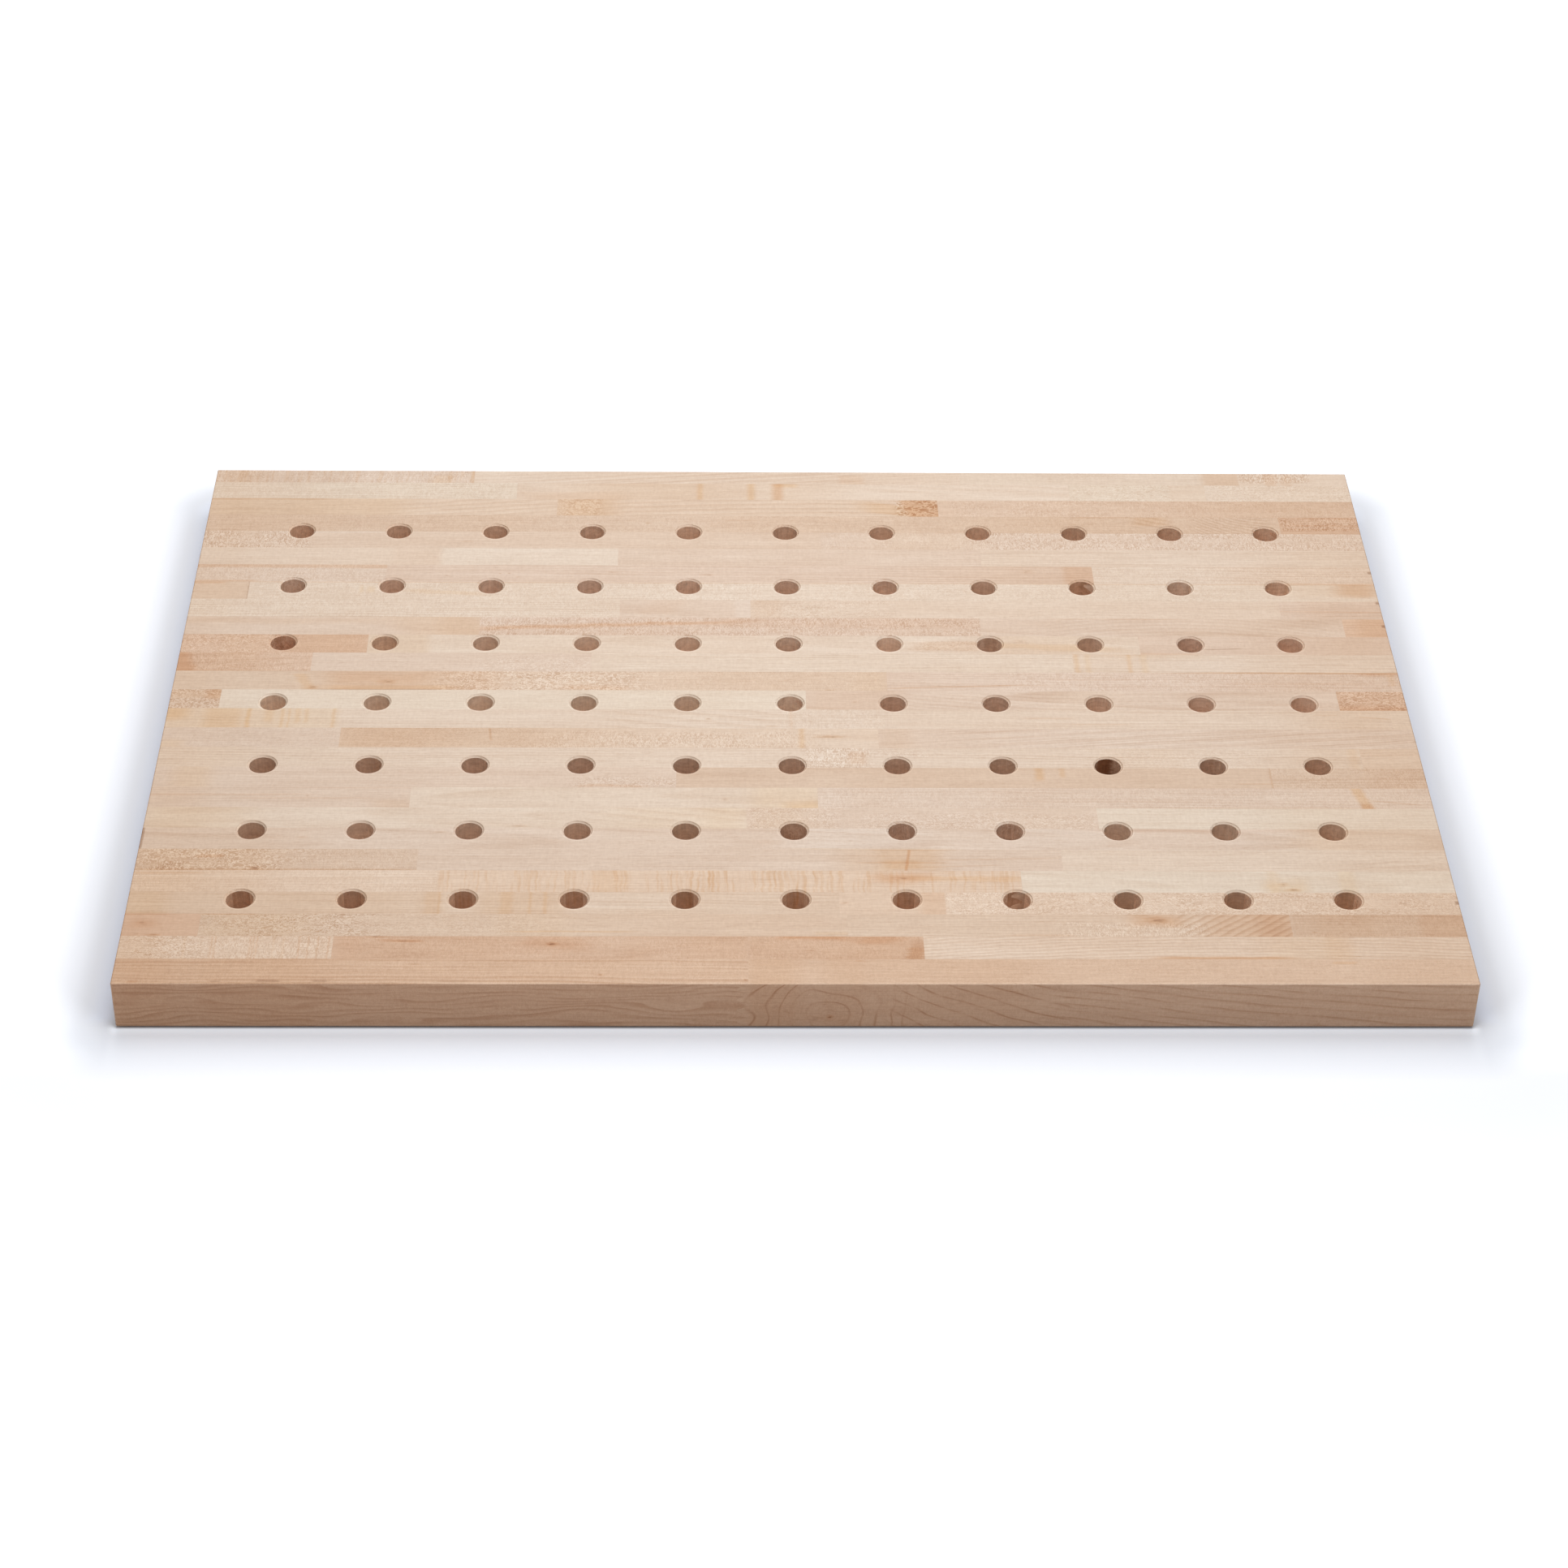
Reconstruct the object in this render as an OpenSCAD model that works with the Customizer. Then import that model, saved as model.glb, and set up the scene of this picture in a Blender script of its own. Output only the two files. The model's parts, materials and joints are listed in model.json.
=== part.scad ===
// Edge-glued hard maple bench top with a grid of round dog holes.
// The origin is at the middle of the underside. X runs along the strips, Y from front to back, Z up.

/* [Top] */
// Length of the top, along the strips
top_l = 914.4; // [600:0.1:1200]
// Depth of the top, from front to back
top_d = 635; // [400:0.1:900]
// Thickness of the top
top_t = 38.1; // [25:0.1:60]
// Leg of the small chamfer that eases the outer edges
edge_ease = 0.8; // [0.2:0.1:2]

/* [Strips] */
// Pitch of the strips, from one glue line to the next
strip_w = 23.65; // [18:0.05:40]
// Width of the front strip
front_strip_w = 25.4; // [18:0.05:40]
// Gap between neighbouring staves that the glue fills
glue_line = 0.1; // [0.06:0.02:0.2]

/* [End joints] */
// Length of the fingers where two staves meet end to end
finger_l = 7.5; // [4:0.5:12]
// Number of fingers through the thickness
finger_count = 4; // [2:1:5]
// Flat at the tip of a finger
finger_tip = 1.6; // [0.8:0.1:2]
// Shortest stave kept at the end of a strip
stave_min = 13; // [13:1:60]

/* [Dog holes] */
// Diameter of a hole
hole_d = 19.05; // [12:0.05:26]
// Distance between hole centres, both ways
hole_pitch = 76.2; // [50:0.1:120]
// Distance from the front edge to the first row of hole centres
hole_front = 88.9; // [40:0.1:160]
// Distance from the left end to the first column of hole centres
hole_left = 76.2; // [40:0.1:160]
// Least distance from the back edge or the right end to a hole centre
hole_margin = 70; // [40:1:120]
// Leg of the chamfer around the mouth of a hole
hole_rim = 1.2; // [0.4:0.1:3]

/* [Hidden] */
// End joints of each strip, front strip first and back strip last, as distances from the left end of the top
STAVE_JOINTS = [
    [424],
    [144, 424, 543],
    [52, 492, 795],
    [487, 560],
    [210, 614],
    [195, 644],
    [],
    [424, 673],
    [185, 475],
    [374, 803],
    [871],
    [129, 521],
    [900],
    [37, 469, 864],
    [530],
    [100, 309, 671],
    [140, 723],
    [223, 604, 882],
    [329, 429, 836],
    [43],
    [147, 696],
    [326, 610],
    [485],
    [851],
    [276, 580],
    [243, 687, 797],
    [208, 600, 826],
];
// Colours of the staves, from white sapwood to brown heartwood
WOOD_TONES = ["#ead7bb", "#dfc39c", "#e6cdac", "#d2ad84", "#e2c6a6"];
// Overshoot that lets a cut leave the wood cleanly
cut_over = 1;
// Facets of a drawn circle
$fn = 64;

// Inner strips are all of one width, and the back strip is what is left, from half a strip to one and a half
inner_count = floor((top_d - front_strip_w) / strip_w - 0.5);
strip_count = inner_count + 2;
finger_pitch = top_t / finger_count;
hole_reach = hole_d / 2 + hole_rim;
hole_xs = hole_places(top_l, hole_left);
hole_ys = hole_places(top_d, hole_front);

// Hole centres along a side of the given size, from the first one on, as many as there is room for
function hole_places(size, first) =
    [for (k = [0:floor((size - first - hole_margin) / hole_pitch)]) first + k * hole_pitch - size / 2];

// Distance from the front of the top to the front of strip i
function strip_front(i) = i == 0 ? 0 : i == strip_count ? top_d : front_strip_w + (i - 1) * strip_w;

// Row of STAVE_JOINTS for strip i. The inner rows repeat where there are more inner strips than rows
function joint_row(i) =
    i == 0 ? 0 : i == strip_count - 1 ? len(STAVE_JOINTS) - 1 : 1 + (i - 1) % (len(STAVE_JOINTS) - 2);

// End joints of strip i that leave a whole stave at both ends of the strip
function joints_of(i) = [
    for (x = STAVE_JOINTS[joint_row(i)])
        if (x >= stave_min && x <= top_l - stave_min)
            x - top_l / 2
];

function reversed(points) = [for (k = [len(points) - 1:-1:0]) points[k]];

// Eased end of the top at x, seen from the front, from the underside up. inward is 1 or -1
function square_end(x, inward) = [
    [x + inward * edge_ease, 0],
    [x, edge_ease],
    [x, top_t - edge_ease],
    [x + inward * edge_ease, top_t],
];

// Comb of fingers that meets both faces at x, seen from the front, from the underside up
function finger_end(x) = concat(
    [[x, 0]],
    [
        for (k = [0:finger_count - 1])
            let (middle = (k + 0.5) * finger_pitch, half_tip = finger_tip / 2)
            each [
                [x, middle - finger_pitch / 2 + half_tip],
                [x - finger_l, middle - half_tip],
                [x - finger_l, middle + half_tip],
                [x, middle + finger_pitch / 2 - half_tip],
            ]
    ],
    [[x, top_t]]
);

// Bore with a chamfered mouth, standing on the underside
module dog_hole() {
    rotate_extrude()
        polygon([
            [0, -cut_over],
            [hole_d / 2, -cut_over],
            [hole_d / 2, top_t - hole_rim],
            [hole_reach + cut_over, top_t + cut_over],
            [0, top_t + cut_over],
        ]);
}

// The dog holes that touch the block between two corners
module dog_holes_in(low, high) {
    for (x = hole_xs, y = hole_ys)
        if (x > low.x - hole_reach && x < high.x + hole_reach
            && y > low.y - hole_reach && y < high.y + hole_reach)
            translate([x, y, 0])
                dog_hole();
}

// Cutter for the eased upper and lower edges along the front or the back, at y. inward is 1 or -1
module long_edges(y, inward) {
    for (edge = [[0, 1], [top_t, -1]])
        let (z = edge[0], up = edge[1])
        translate([-top_l / 2 - cut_over, y, z])
            rotate([90, 0, 90])
                linear_extrude(top_l + 2 * cut_over)
                    polygon([
                        [-inward * cut_over, -up * cut_over],
                        [inward * (edge_ease + cut_over), -up * cut_over],
                        [-inward * cut_over, up * (edge_ease + cut_over)],
                    ]);
}

// One stave before drilling, with its outline seen from the front extruded between y0 and y1
module stave_blank(left_end, right_end, y0, y1) {
    translate([0, y1, 0])
        rotate([90, 0, 0])
            linear_extrude(y1 - y0)
                polygon(concat(left_end, reversed(right_end)));
}

// Strip i of the top, counted from the front: a row of finger-jointed staves
module strip(i) {
    y0 = strip_front(i) - top_d / 2 + (i > 0 ? glue_line / 2 : 0);
    y1 = strip_front(i + 1) - top_d / 2 - (i < strip_count - 1 ? glue_line / 2 : 0);
    joints = joints_of(i);
    last = len(joints);
    for (k = [0:last]) {
        x0 = k > 0 ? joints[k - 1] : -top_l / 2;
        x1 = k < last ? joints[k] : top_l / 2;
        left_end = k > 0 ? finger_end(x0 + glue_line / 2) : square_end(x0, 1);
        right_end = k < last ? finger_end(x1 - glue_line / 2) : square_end(x1, -1);
        color(WOOD_TONES[(2 * i + k) % len(WOOD_TONES)])
            difference() {
                stave_blank(left_end, right_end, y0, y1);
                dog_holes_in([x0 - finger_l, y0], [x1, y1]);
                if (i == 0)
                    long_edges(y0, 1);
                if (i == strip_count - 1)
                    long_edges(y1, -1);
            }
    }
}

for (i = [0:strip_count - 1])
    strip(i);
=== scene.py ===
"""Looks of an edge-glued maple bench top that is drilled with a grid of dog holes.

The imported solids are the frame. Each strip is built again here as a row of finger-jointed staves with
smooth bores and rounded arrises, and each stave gets a maple finish of its own: tone, growth rings and the
flecks, bars, streaks and knots that a woodworker would read on it.
"""

import json  # noqa: E402
import logging  # noqa: E402
import math  # noqa: E402
from dataclasses import dataclass, field  # noqa: E402
from enum import Enum  # noqa: E402
from typing import ClassVar, Union  # noqa: E402

import bmesh  # noqa: E402
import bpy  # noqa: E402
from mathutils import Matrix, Vector  # noqa: E402


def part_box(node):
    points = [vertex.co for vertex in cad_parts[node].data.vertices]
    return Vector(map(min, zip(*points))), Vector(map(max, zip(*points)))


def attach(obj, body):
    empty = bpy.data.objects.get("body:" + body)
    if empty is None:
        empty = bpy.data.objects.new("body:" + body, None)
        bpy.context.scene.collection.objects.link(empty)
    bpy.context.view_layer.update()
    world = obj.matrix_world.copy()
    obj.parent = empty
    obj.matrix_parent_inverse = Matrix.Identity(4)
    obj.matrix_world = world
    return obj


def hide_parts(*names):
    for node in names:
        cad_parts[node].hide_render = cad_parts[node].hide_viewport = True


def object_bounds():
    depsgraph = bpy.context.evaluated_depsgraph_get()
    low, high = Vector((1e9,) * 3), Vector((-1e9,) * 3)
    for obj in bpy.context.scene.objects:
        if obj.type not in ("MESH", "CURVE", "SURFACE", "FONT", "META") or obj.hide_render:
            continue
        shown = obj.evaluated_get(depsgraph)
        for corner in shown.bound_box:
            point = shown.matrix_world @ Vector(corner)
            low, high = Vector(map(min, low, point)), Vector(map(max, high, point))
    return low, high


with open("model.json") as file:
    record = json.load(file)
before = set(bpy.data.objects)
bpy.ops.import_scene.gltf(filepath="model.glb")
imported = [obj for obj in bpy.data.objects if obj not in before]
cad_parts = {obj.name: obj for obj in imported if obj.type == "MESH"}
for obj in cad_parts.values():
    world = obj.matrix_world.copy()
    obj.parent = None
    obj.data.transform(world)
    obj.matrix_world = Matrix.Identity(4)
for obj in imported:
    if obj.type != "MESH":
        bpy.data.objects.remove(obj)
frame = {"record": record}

LOG = logging.getLogger("bench_top")
MM = 0.001
CAD_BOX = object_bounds()
BODY = "root"
CUT_ATTRIBUTE = "cut"
# Place of the row of holes for a strip without one, far away from the strip, in mm
NO_ROW = 1000.0

Feed = Union["Wire", bpy.types.NodeSocket, float, tuple]


class Tone(Enum):
    """Ground colours of sanded maple, linear RGB."""

    SAP = (0.700, 0.578, 0.464)
    CREAM = (0.690, 0.555, 0.442)
    PALE = (0.680, 0.538, 0.425)
    ROSE = (0.662, 0.514, 0.406)
    WHEAT = (0.690, 0.520, 0.392)
    BLUSH = (0.645, 0.484, 0.374)
    TAN = (0.656, 0.492, 0.368)
    FAWN = (0.628, 0.462, 0.342)
    AMBER = (0.670, 0.475, 0.338)
    RUSSET = (0.640, 0.440, 0.312)
    CHESTNUT = (0.600, 0.398, 0.272)


class Tint(Enum):
    """Filters that a mark lays over the ground colour, as factors of linear RGB."""

    MILK = (1.05, 1.10, 1.15)
    ASH = (0.96, 0.955, 0.95)
    ROSE = (0.97, 0.92, 0.89)
    HONEY = (0.99, 0.93, 0.82)
    TAN = (0.94, 0.87, 0.79)
    AMBER = (0.95, 0.81, 0.62)
    RUST = (0.90, 0.74, 0.60)
    BROWN = (0.85, 0.70, 0.56)
    UMBER = (0.55, 0.43, 0.35)


class Bite(Enum):
    """Stains, and painted light and shade: how strongly red, green and blue are taken away. Below zero they
    lighten.
    """

    WARM = (0.62, 0.95, 1.22)
    AMBER = (0.40, 0.95, 1.60)
    FINE = (0.78, 0.96, 1.08)
    STROKE = (-0.65, -1.0, -1.35)
    HALO = (0.12, 0.26, 0.40)
    HEART = (0.38, 0.46, 0.50)
    # Painted light: makes the bored walls paler, standing in for light inside the holes
    BORE = (-0.28, -0.21, -0.18)
    SCORCH = (0.40, 0.48, 0.52)
    # Duller end grain on the sides of each bore, and painted shade on the right of each hole's chamfer
    DULL = (0.10, 0.12, 0.14)
    # Painted highlight on the chamfer round each hole's mouth
    RIM = (-0.24, -0.25, -0.26)
    # Painted highlight on the top just before each hole's mouth
    WORN = (-0.12, -0.14, -0.15)
    # Painted shade: a thin dark line round each hole's mouth
    LIP = (0.20, 0.24, 0.27)
    # Painted shade: the warm fall-off of the light towards both ends of the top
    OIL = (0.0, 0.024, 0.050)
    # Painted highlight along the rounded top arrises of the front and back
    ARRIS = (-0.26, -0.30, -0.34)
    # Painted shade along the rounded lower arrises, where the top meets the floor
    FOOT = (0.42, 0.48, 0.52)
    # Painted shade on the front and back faces
    EDGE = (0.16, 0.25, 0.32)
    END = (0.20, 0.30, 0.38)


class Sway(Enum):
    """Noises round zero: size along X, Y and Z (mm or pitches), octaves past the first, largest value."""

    FEATHER = (16.0, 1.3, 1.3, 1.5, 1.6)
    WAVER = (34.0, 9.0, 9.0, 1.0, 1.2)
    BEND = (170.0, 34.0, 34.0, 2.0, 2.0)
    FIBRE = (24.0, 0.8, 0.8, 2.0, 1.0)
    MOTTLE = (3.4, 1.5, 1.5, 1.5, 0.65)
    CHATTER = (1.5, 6.5, 1.2, 1.0, 0.5)
    BROAD = (230.0, 4.5, 4.5, 2.0, 1.0)
    CLOUD = (60.0, 16.0, 16.0, 2.0, 1.0)
    STROKE = (1.0, 1.0, 1.0, 0.6, 0.5)
    WOBBLE = (22.0, 8.0, 8.0, 1.0, 1.4)
    FIGURE = (1.0, 30.0, 1.0, 1.5, 1.0)
    EYE = (30.0, 30.0, 26.0, 0.6, 1.0)
    KNOT = (5.0, 1.6, 1.6, 1.0, 0.55)
    PORES = (9.0, 0.7, 0.7, 2.0, 0.30)
    DRILL = (1.3, 1.3, 16.0, 1.5, 0.40)
    SCORCH = (5.0, 5.0, 4.0, 2.0, 0.55)


class Gate(Enum):
    """Noises that let a mark come and go: size and octaves, where they open and are open, least opening."""

    RINGS = (130.0, 10.0, 10.0, 1.0, 0.32, 0.66, 0.25)
    DASHES = (5.5, 0.42, 0.42, 0.0, 0.66, 0.80, 0.0)
    FLECKS = (26.0, 7.0, 7.0, 1.0, 0.25, 0.60, 0.35)
    CURL = (1.0, 1.0, 1.0, 1.0, 0.46, 0.70, 0.0)
    FIGURE = (45.0, 9.0, 5.0, 1.0, 0.28, 0.62, 0.15)
    EYE = (30.0, 30.0, 24.0, 1.0, 0.28, 0.62, 0.15)


class Ramp(Enum):
    """Where a change begins and where it is full: mm, or shares of a knot's size or a stroke's depth."""

    STROKE = (0.08, 0.01)
    STROKE_GAP = (0.05, 0.15)
    HALO = (1.15, 0.15)
    HEART = (0.45, 0.05)
    RIGHT_OF_HOLE = (-4.0, 7.0)
    FRONT_OF_HOLE = (4.0, -7.0)
    SIDES_OF_HOLE = (4.0, 9.5)
    LIP_OUTSIDE = (0.45, 0.15)
    LIP_INSIDE = (-0.65, -0.25)
    # Painted highlight band just outside a hole's mouth
    WORN_LIP = (1.5, 0.6)
    BELOW_ARRIS = (-0.9, -2.4)
    # Where the painted fall-off towards the ends begins and is full
    RIGHT_END = (315.0, 430.0)
    LEFT_END = (-395.0, -450.0)


class Cut(Enum):
    """How a face of a stave was made, as the number that its faces carry for the shader."""

    PLANED = 0.0
    BORED = 1.0
    RIM = 2.0
    END = 3.0
    EDGE = 4.0
    ARRIS = 5.0
    FOOT = 6.0


class Sawn(Enum):
    """Where the pith lay when a stave was sawn: across, above the top, ring width, lean, wander (mm)."""

    FLAT = (5.0, -46.0, 2.7, 0.020, 3.2)
    RIFT = (46.0, -34.0, 2.3, 0.008, 2.0)
    QUARTER = (120.0, -8.0, 1.9, 0.003, 1.1)
    EDGE = (30.0, -19.0, 3.3, 0.030, 2.4)


FLOAT, VECTOR, COLOUR = "NodeSocketFloat", "NodeSocketVector", "NodeSocketColor"
GEOMETRY, WHOLE, MATERIAL = "NodeSocketGeometry", "NodeSocketInt", "NodeSocketMaterial"
WHITE = (1.0, 1.0, 1.0)
# Half the step between the numbers of two kinds of face, less some room
CUT_MARGIN = 0.25


class Wire:
    """An output socket that sums are written with. Each sign in a sum adds a Math node to its graph."""

    def __init__(self, graph: "Graph", socket: bpy.types.NodeSocket) -> None:
        """Keeps the graph and the socket."""
        self.graph = graph
        self.socket = socket

    def __add__(self, other: Feed) -> "Wire":
        """Adds a value."""
        return self.graph.math("ADD", self, other)

    def __sub__(self, other: Feed) -> "Wire":
        """Takes a value away."""
        return self.graph.math("SUBTRACT", self, other)

    def __rsub__(self, other: Feed) -> "Wire":
        """Is taken away from a value."""
        return self.graph.math("SUBTRACT", other, self)

    def __mul__(self, other: Feed) -> "Wire":
        """Multiplies by a value."""
        return self.graph.math("MULTIPLY", self, other)

    def __truediv__(self, other: Feed) -> "Wire":
        """Divides by a value."""
        return self.graph.math("DIVIDE", self, other)


class Graph:
    """Adds nodes to one node tree and links them."""

    def __init__(self, tree: bpy.types.NodeTree) -> None:
        """Keeps the shader or geometry node tree that the nodes go into."""
        self.tree = tree

    def feed(self, socket: bpy.types.NodeSocket, value: Feed) -> None:
        """Links a socket to another, or sets its own value.

        Args:
            socket: the input that is fed.
            value: an output socket, a number or a tuple of numbers.
        """
        source = value.socket if isinstance(value, Wire) else value
        if isinstance(source, bpy.types.NodeSocket):
            self.tree.links.new(source, socket)
        else:
            socket.default_value = source

    def node(self, kind: str, feeds: dict[str, Feed] | None = None, **settings: object) -> bpy.types.Node:
        """Adds one node.

        Args:
            kind: Blender's name of the node type.
            feeds: values or sockets for its inputs, by name.
            **settings: properties of the node.

        Returns:
            The new node.
        """
        made = self.tree.nodes.new(kind)
        for name, value in settings.items():
            setattr(made, name, value)
        for name, value in (feeds or {}).items():
            self.feed(made.inputs[name], value)
        return made

    def first(self, kind: str, *values: Feed, **settings: object) -> Wire:
        """Adds one node whose inputs are given in order.

        Args:
            kind: Blender's name of the node type.
            *values: values or sockets for its first inputs.
            **settings: properties of the node.

        Returns:
            Its first output.
        """
        made = self.node(kind, **settings)
        for socket, value in zip(made.inputs, values):
            self.feed(socket, value)
        return Wire(self, made.outputs[0])

    def math(self, operation: str, *values: Feed) -> Wire:
        """Works out a number from numbers."""
        return self.first("ShaderNodeMath", *values, operation=operation)

    def vector(self, operation: str, *values: Feed) -> Wire:
        """Works out a place or a colour, channel by channel."""
        return self.first("ShaderNodeVectorMath", *values, operation=operation)

    def hypot(self, a: Wire, b: Wire) -> Wire:
        """Gives the length of a line from its two legs."""
        return self.math("SQRT", a * a + b * b)

    def place(self, x: Feed = 0.0, y: Feed = 0.0, z: Feed = 0.0) -> Wire:
        """Puts a place together from X, Y and Z."""
        return self.first("ShaderNodeCombineXYZ", x, y, z)

    def axes(self, place: Feed) -> tuple[Wire, ...]:
        """Splits a place into X, Y and Z."""
        parts = self.node("ShaderNodeSeparateXYZ", {"Vector": place}).outputs
        return tuple(Wire(self, part) for part in parts)

    def step(self, value: Feed, low: Feed, high: Feed, least: float = 0.0) -> Wire:
        """Adds a smooth step.

        Args:
            value: what is measured.
            low: where the step starts.
            high: where it ends.
            least: height before the step; it is 1 after it.

        Returns:
            The step's height.
        """
        return self.first("ShaderNodeMapRange", value, low, high, least, interpolation_type="SMOOTHSTEP")

    def ramp(self, value: Feed, ramp: Enum) -> Wire:
        """Gives the smooth step of a named ramp."""
        return self.step(value, *ramp.value)

    def between(self, value: Wire, low: Wire, high: Wire, soft: Wire) -> Wire:
        """Gives 1 between two limits and 0 outside them, with soft edges."""
        inside = self.step(value, low - soft, low + soft)
        return inside * (1.0 - self.step(value, high - soft, high + soft))

    def noise(self, place: Feed, size: tuple, octaves: float, distortion: float = 0.0) -> Wire:
        """Adds a noise that is stretched along the three axes.

        Args:
            place: where it is read.
            size: size of its features along X, Y and Z.
            octaves: octaves past the first.
            distortion: how far the noise warps itself.

        Returns:
            A value from 0 to 1, with 0.5 as its middle.
        """
        spot = self.vector("MULTIPLY", place, tuple(1.0 / s for s in size))
        feeds = {"Vector": spot, "Scale": 1.0, "Detail": octaves, "Distortion": distortion}
        return Wire(self, self.node("ShaderNodeTexNoise", feeds).outputs["Fac"])

    def spread(self, value: Wire, reach: float) -> Wire:
        """Turns a value from 0 to 1 into one from -reach to reach."""
        return (value - 0.5) * (2.0 * reach)

    def sway(self, place: Feed, sway: Sway, distortion: float = 0.0) -> Wire:
        """Gives a named noise round zero."""
        *size, octaves, reach = sway.value
        return self.spread(self.noise(place, size, octaves, distortion), reach)

    def gate(self, place: Feed, gate: Gate) -> Wire:
        """Gives a named noise that opens and shuts."""
        *size, octaves, low, high, least = gate.value
        return self.step(self.noise(place, size, octaves), low, high, least)

    def chance(self, value: Feed) -> Wire:
        """Draws a number from 0 to 1 for each different value."""
        made = self.node("ShaderNodeTexWhiteNoise", {"W": value}, noise_dimensions="1D")
        return Wire(self, made.outputs["Value"])

    def ring_line(self, ring: Wire, start: Feed, peak: float) -> Wire:
        """Draws late wood: a line that grows within each ring and ends with it.

        Args:
            ring: number of rings from the pith.
            start: share of a ring where the line starts.
            peak: share of a ring where it is darkest.

        Returns:
            Depth of the line, from 0 to 1.
        """
        phase = self.math("FRACT", ring)
        return self.step(phase, start, peak) * (1.0 - self.step(phase, peak, 1.0))

    def is_cut(self, cut: Feed, kind: Cut) -> Wire:
        """Gives 1 on faces of one kind and 0 on others."""
        return self.math("COMPARE", cut, kind.value, CUT_MARGIN)

    def stain(self, colour: Feed, amount: Wire, bite: Bite) -> Wire:
        """Darkens or lightens a colour, each channel by its own share: real stains, and also painted light
        and shade.

        Args:
            colour: the colour below.
            amount: how much is laid on, 0 for none.
            bite: how strongly red, green and blue are taken away.

        Returns:
            The changed colour.
        """
        left = self.vector("MULTIPLY_ADD", bite.value, amount * -1.0, WHITE)
        return self.vector("MULTIPLY", colour, left)


class Group(Graph):
    """A node group with named inputs, while it is being drawn."""

    def __init__(
        self, name: str, inputs: dict[str, str], outputs: dict[str, str], kind: str = "ShaderNodeTree"
    ) -> None:
        """Starts the group.

        Args:
            name: the group's name.
            inputs: kinds of its inputs, by name.
            outputs: kinds of its outputs, by name.
            kind: Blender's name of the kind of tree.
        """
        super().__init__(bpy.data.node_groups.new(name, kind))
        for side, sockets in (("INPUT", inputs), ("OUTPUT", outputs)):
            for label, socket_type in sockets.items():
                self.tree.interface.new_socket(label, in_out=side, socket_type=socket_type)
        self.given = self.node("NodeGroupInput").outputs

    def __getitem__(self, label: str) -> Wire:
        """Gives one of the group's inputs."""
        return Wire(self, self.given[label])

    def end(self, **results: Feed) -> bpy.types.NodeTree:
        """Feeds the group's outputs and gives its tree."""
        self.node("NodeGroupOutput", results)
        return self.tree


def floats(*names: str) -> dict[str, str]:
    """Names inputs that take a number."""
    return dict.fromkeys(names, FLOAT)


WINDOW = floats("Start", "End", "Fade", "Low", "High", "Edge", "Slant", "Rise", "Ragged")
STAVE = {"Place": VECTOR, "Drift": VECTOR, **floats("Feather", "Waver")}
PAINTED = {"Colour": COLOUR}
# How far one seed moves the noises along X, Y and Z, in mm
SEED_SHIFT = (61.3, 27.9, 43.7)
# How the rings' widths differ: changes for each mm from the pith, and rings that they amount to
UNEVEN_RATE, UNEVEN_RINGS = 0.11, 1.6
# Difference in tone from one year to the next, as a share of a ring line's depth
YEAR_SPREAD = 0.12
# Shares of a ring where a line starts and is darkest
LATE_WOOD, SWEEP_LINE, EDGE_PEAK = (0.30, 0.88), (0.25, 0.85), 0.90
# Size and depth of the ray flecks against what the cut list says, their reach into the wood (mm) and warp
FLECK_SIZE, FLECK_DEPTH, FLECK_REACH, FLECK_WARP = 0.74, 1.2, 4.0, 1.0
# Length of a curl bar in mm, and how far it wavers; height of the waves of an edge figure in mm
CURL_LENGTH, CURL_WAVER, FIGURE_HEIGHT = 40.0, 1.5, 21.0
# Holes differ in tone by this much; a row's place is multiplied so that rows don't draw the same numbers
HOLE_SPREAD, ROW_STRIDE = 0.14, 7.0
# Least depth of the painted shade line round a hole's mouth, share of the painted fall-off at the left end,
# and mean depth of the pores
LIP_LEAST, LEFT_FALLOFF, PORE_DEPTH = 0.4, 0.8, 0.65
# Roughness of planed wood, how far it wavers, and how much rougher a bored wall or an end is
SATIN, SATIN_SWAY, OPEN_GRAIN = 0.52, 0.04, 0.24


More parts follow.
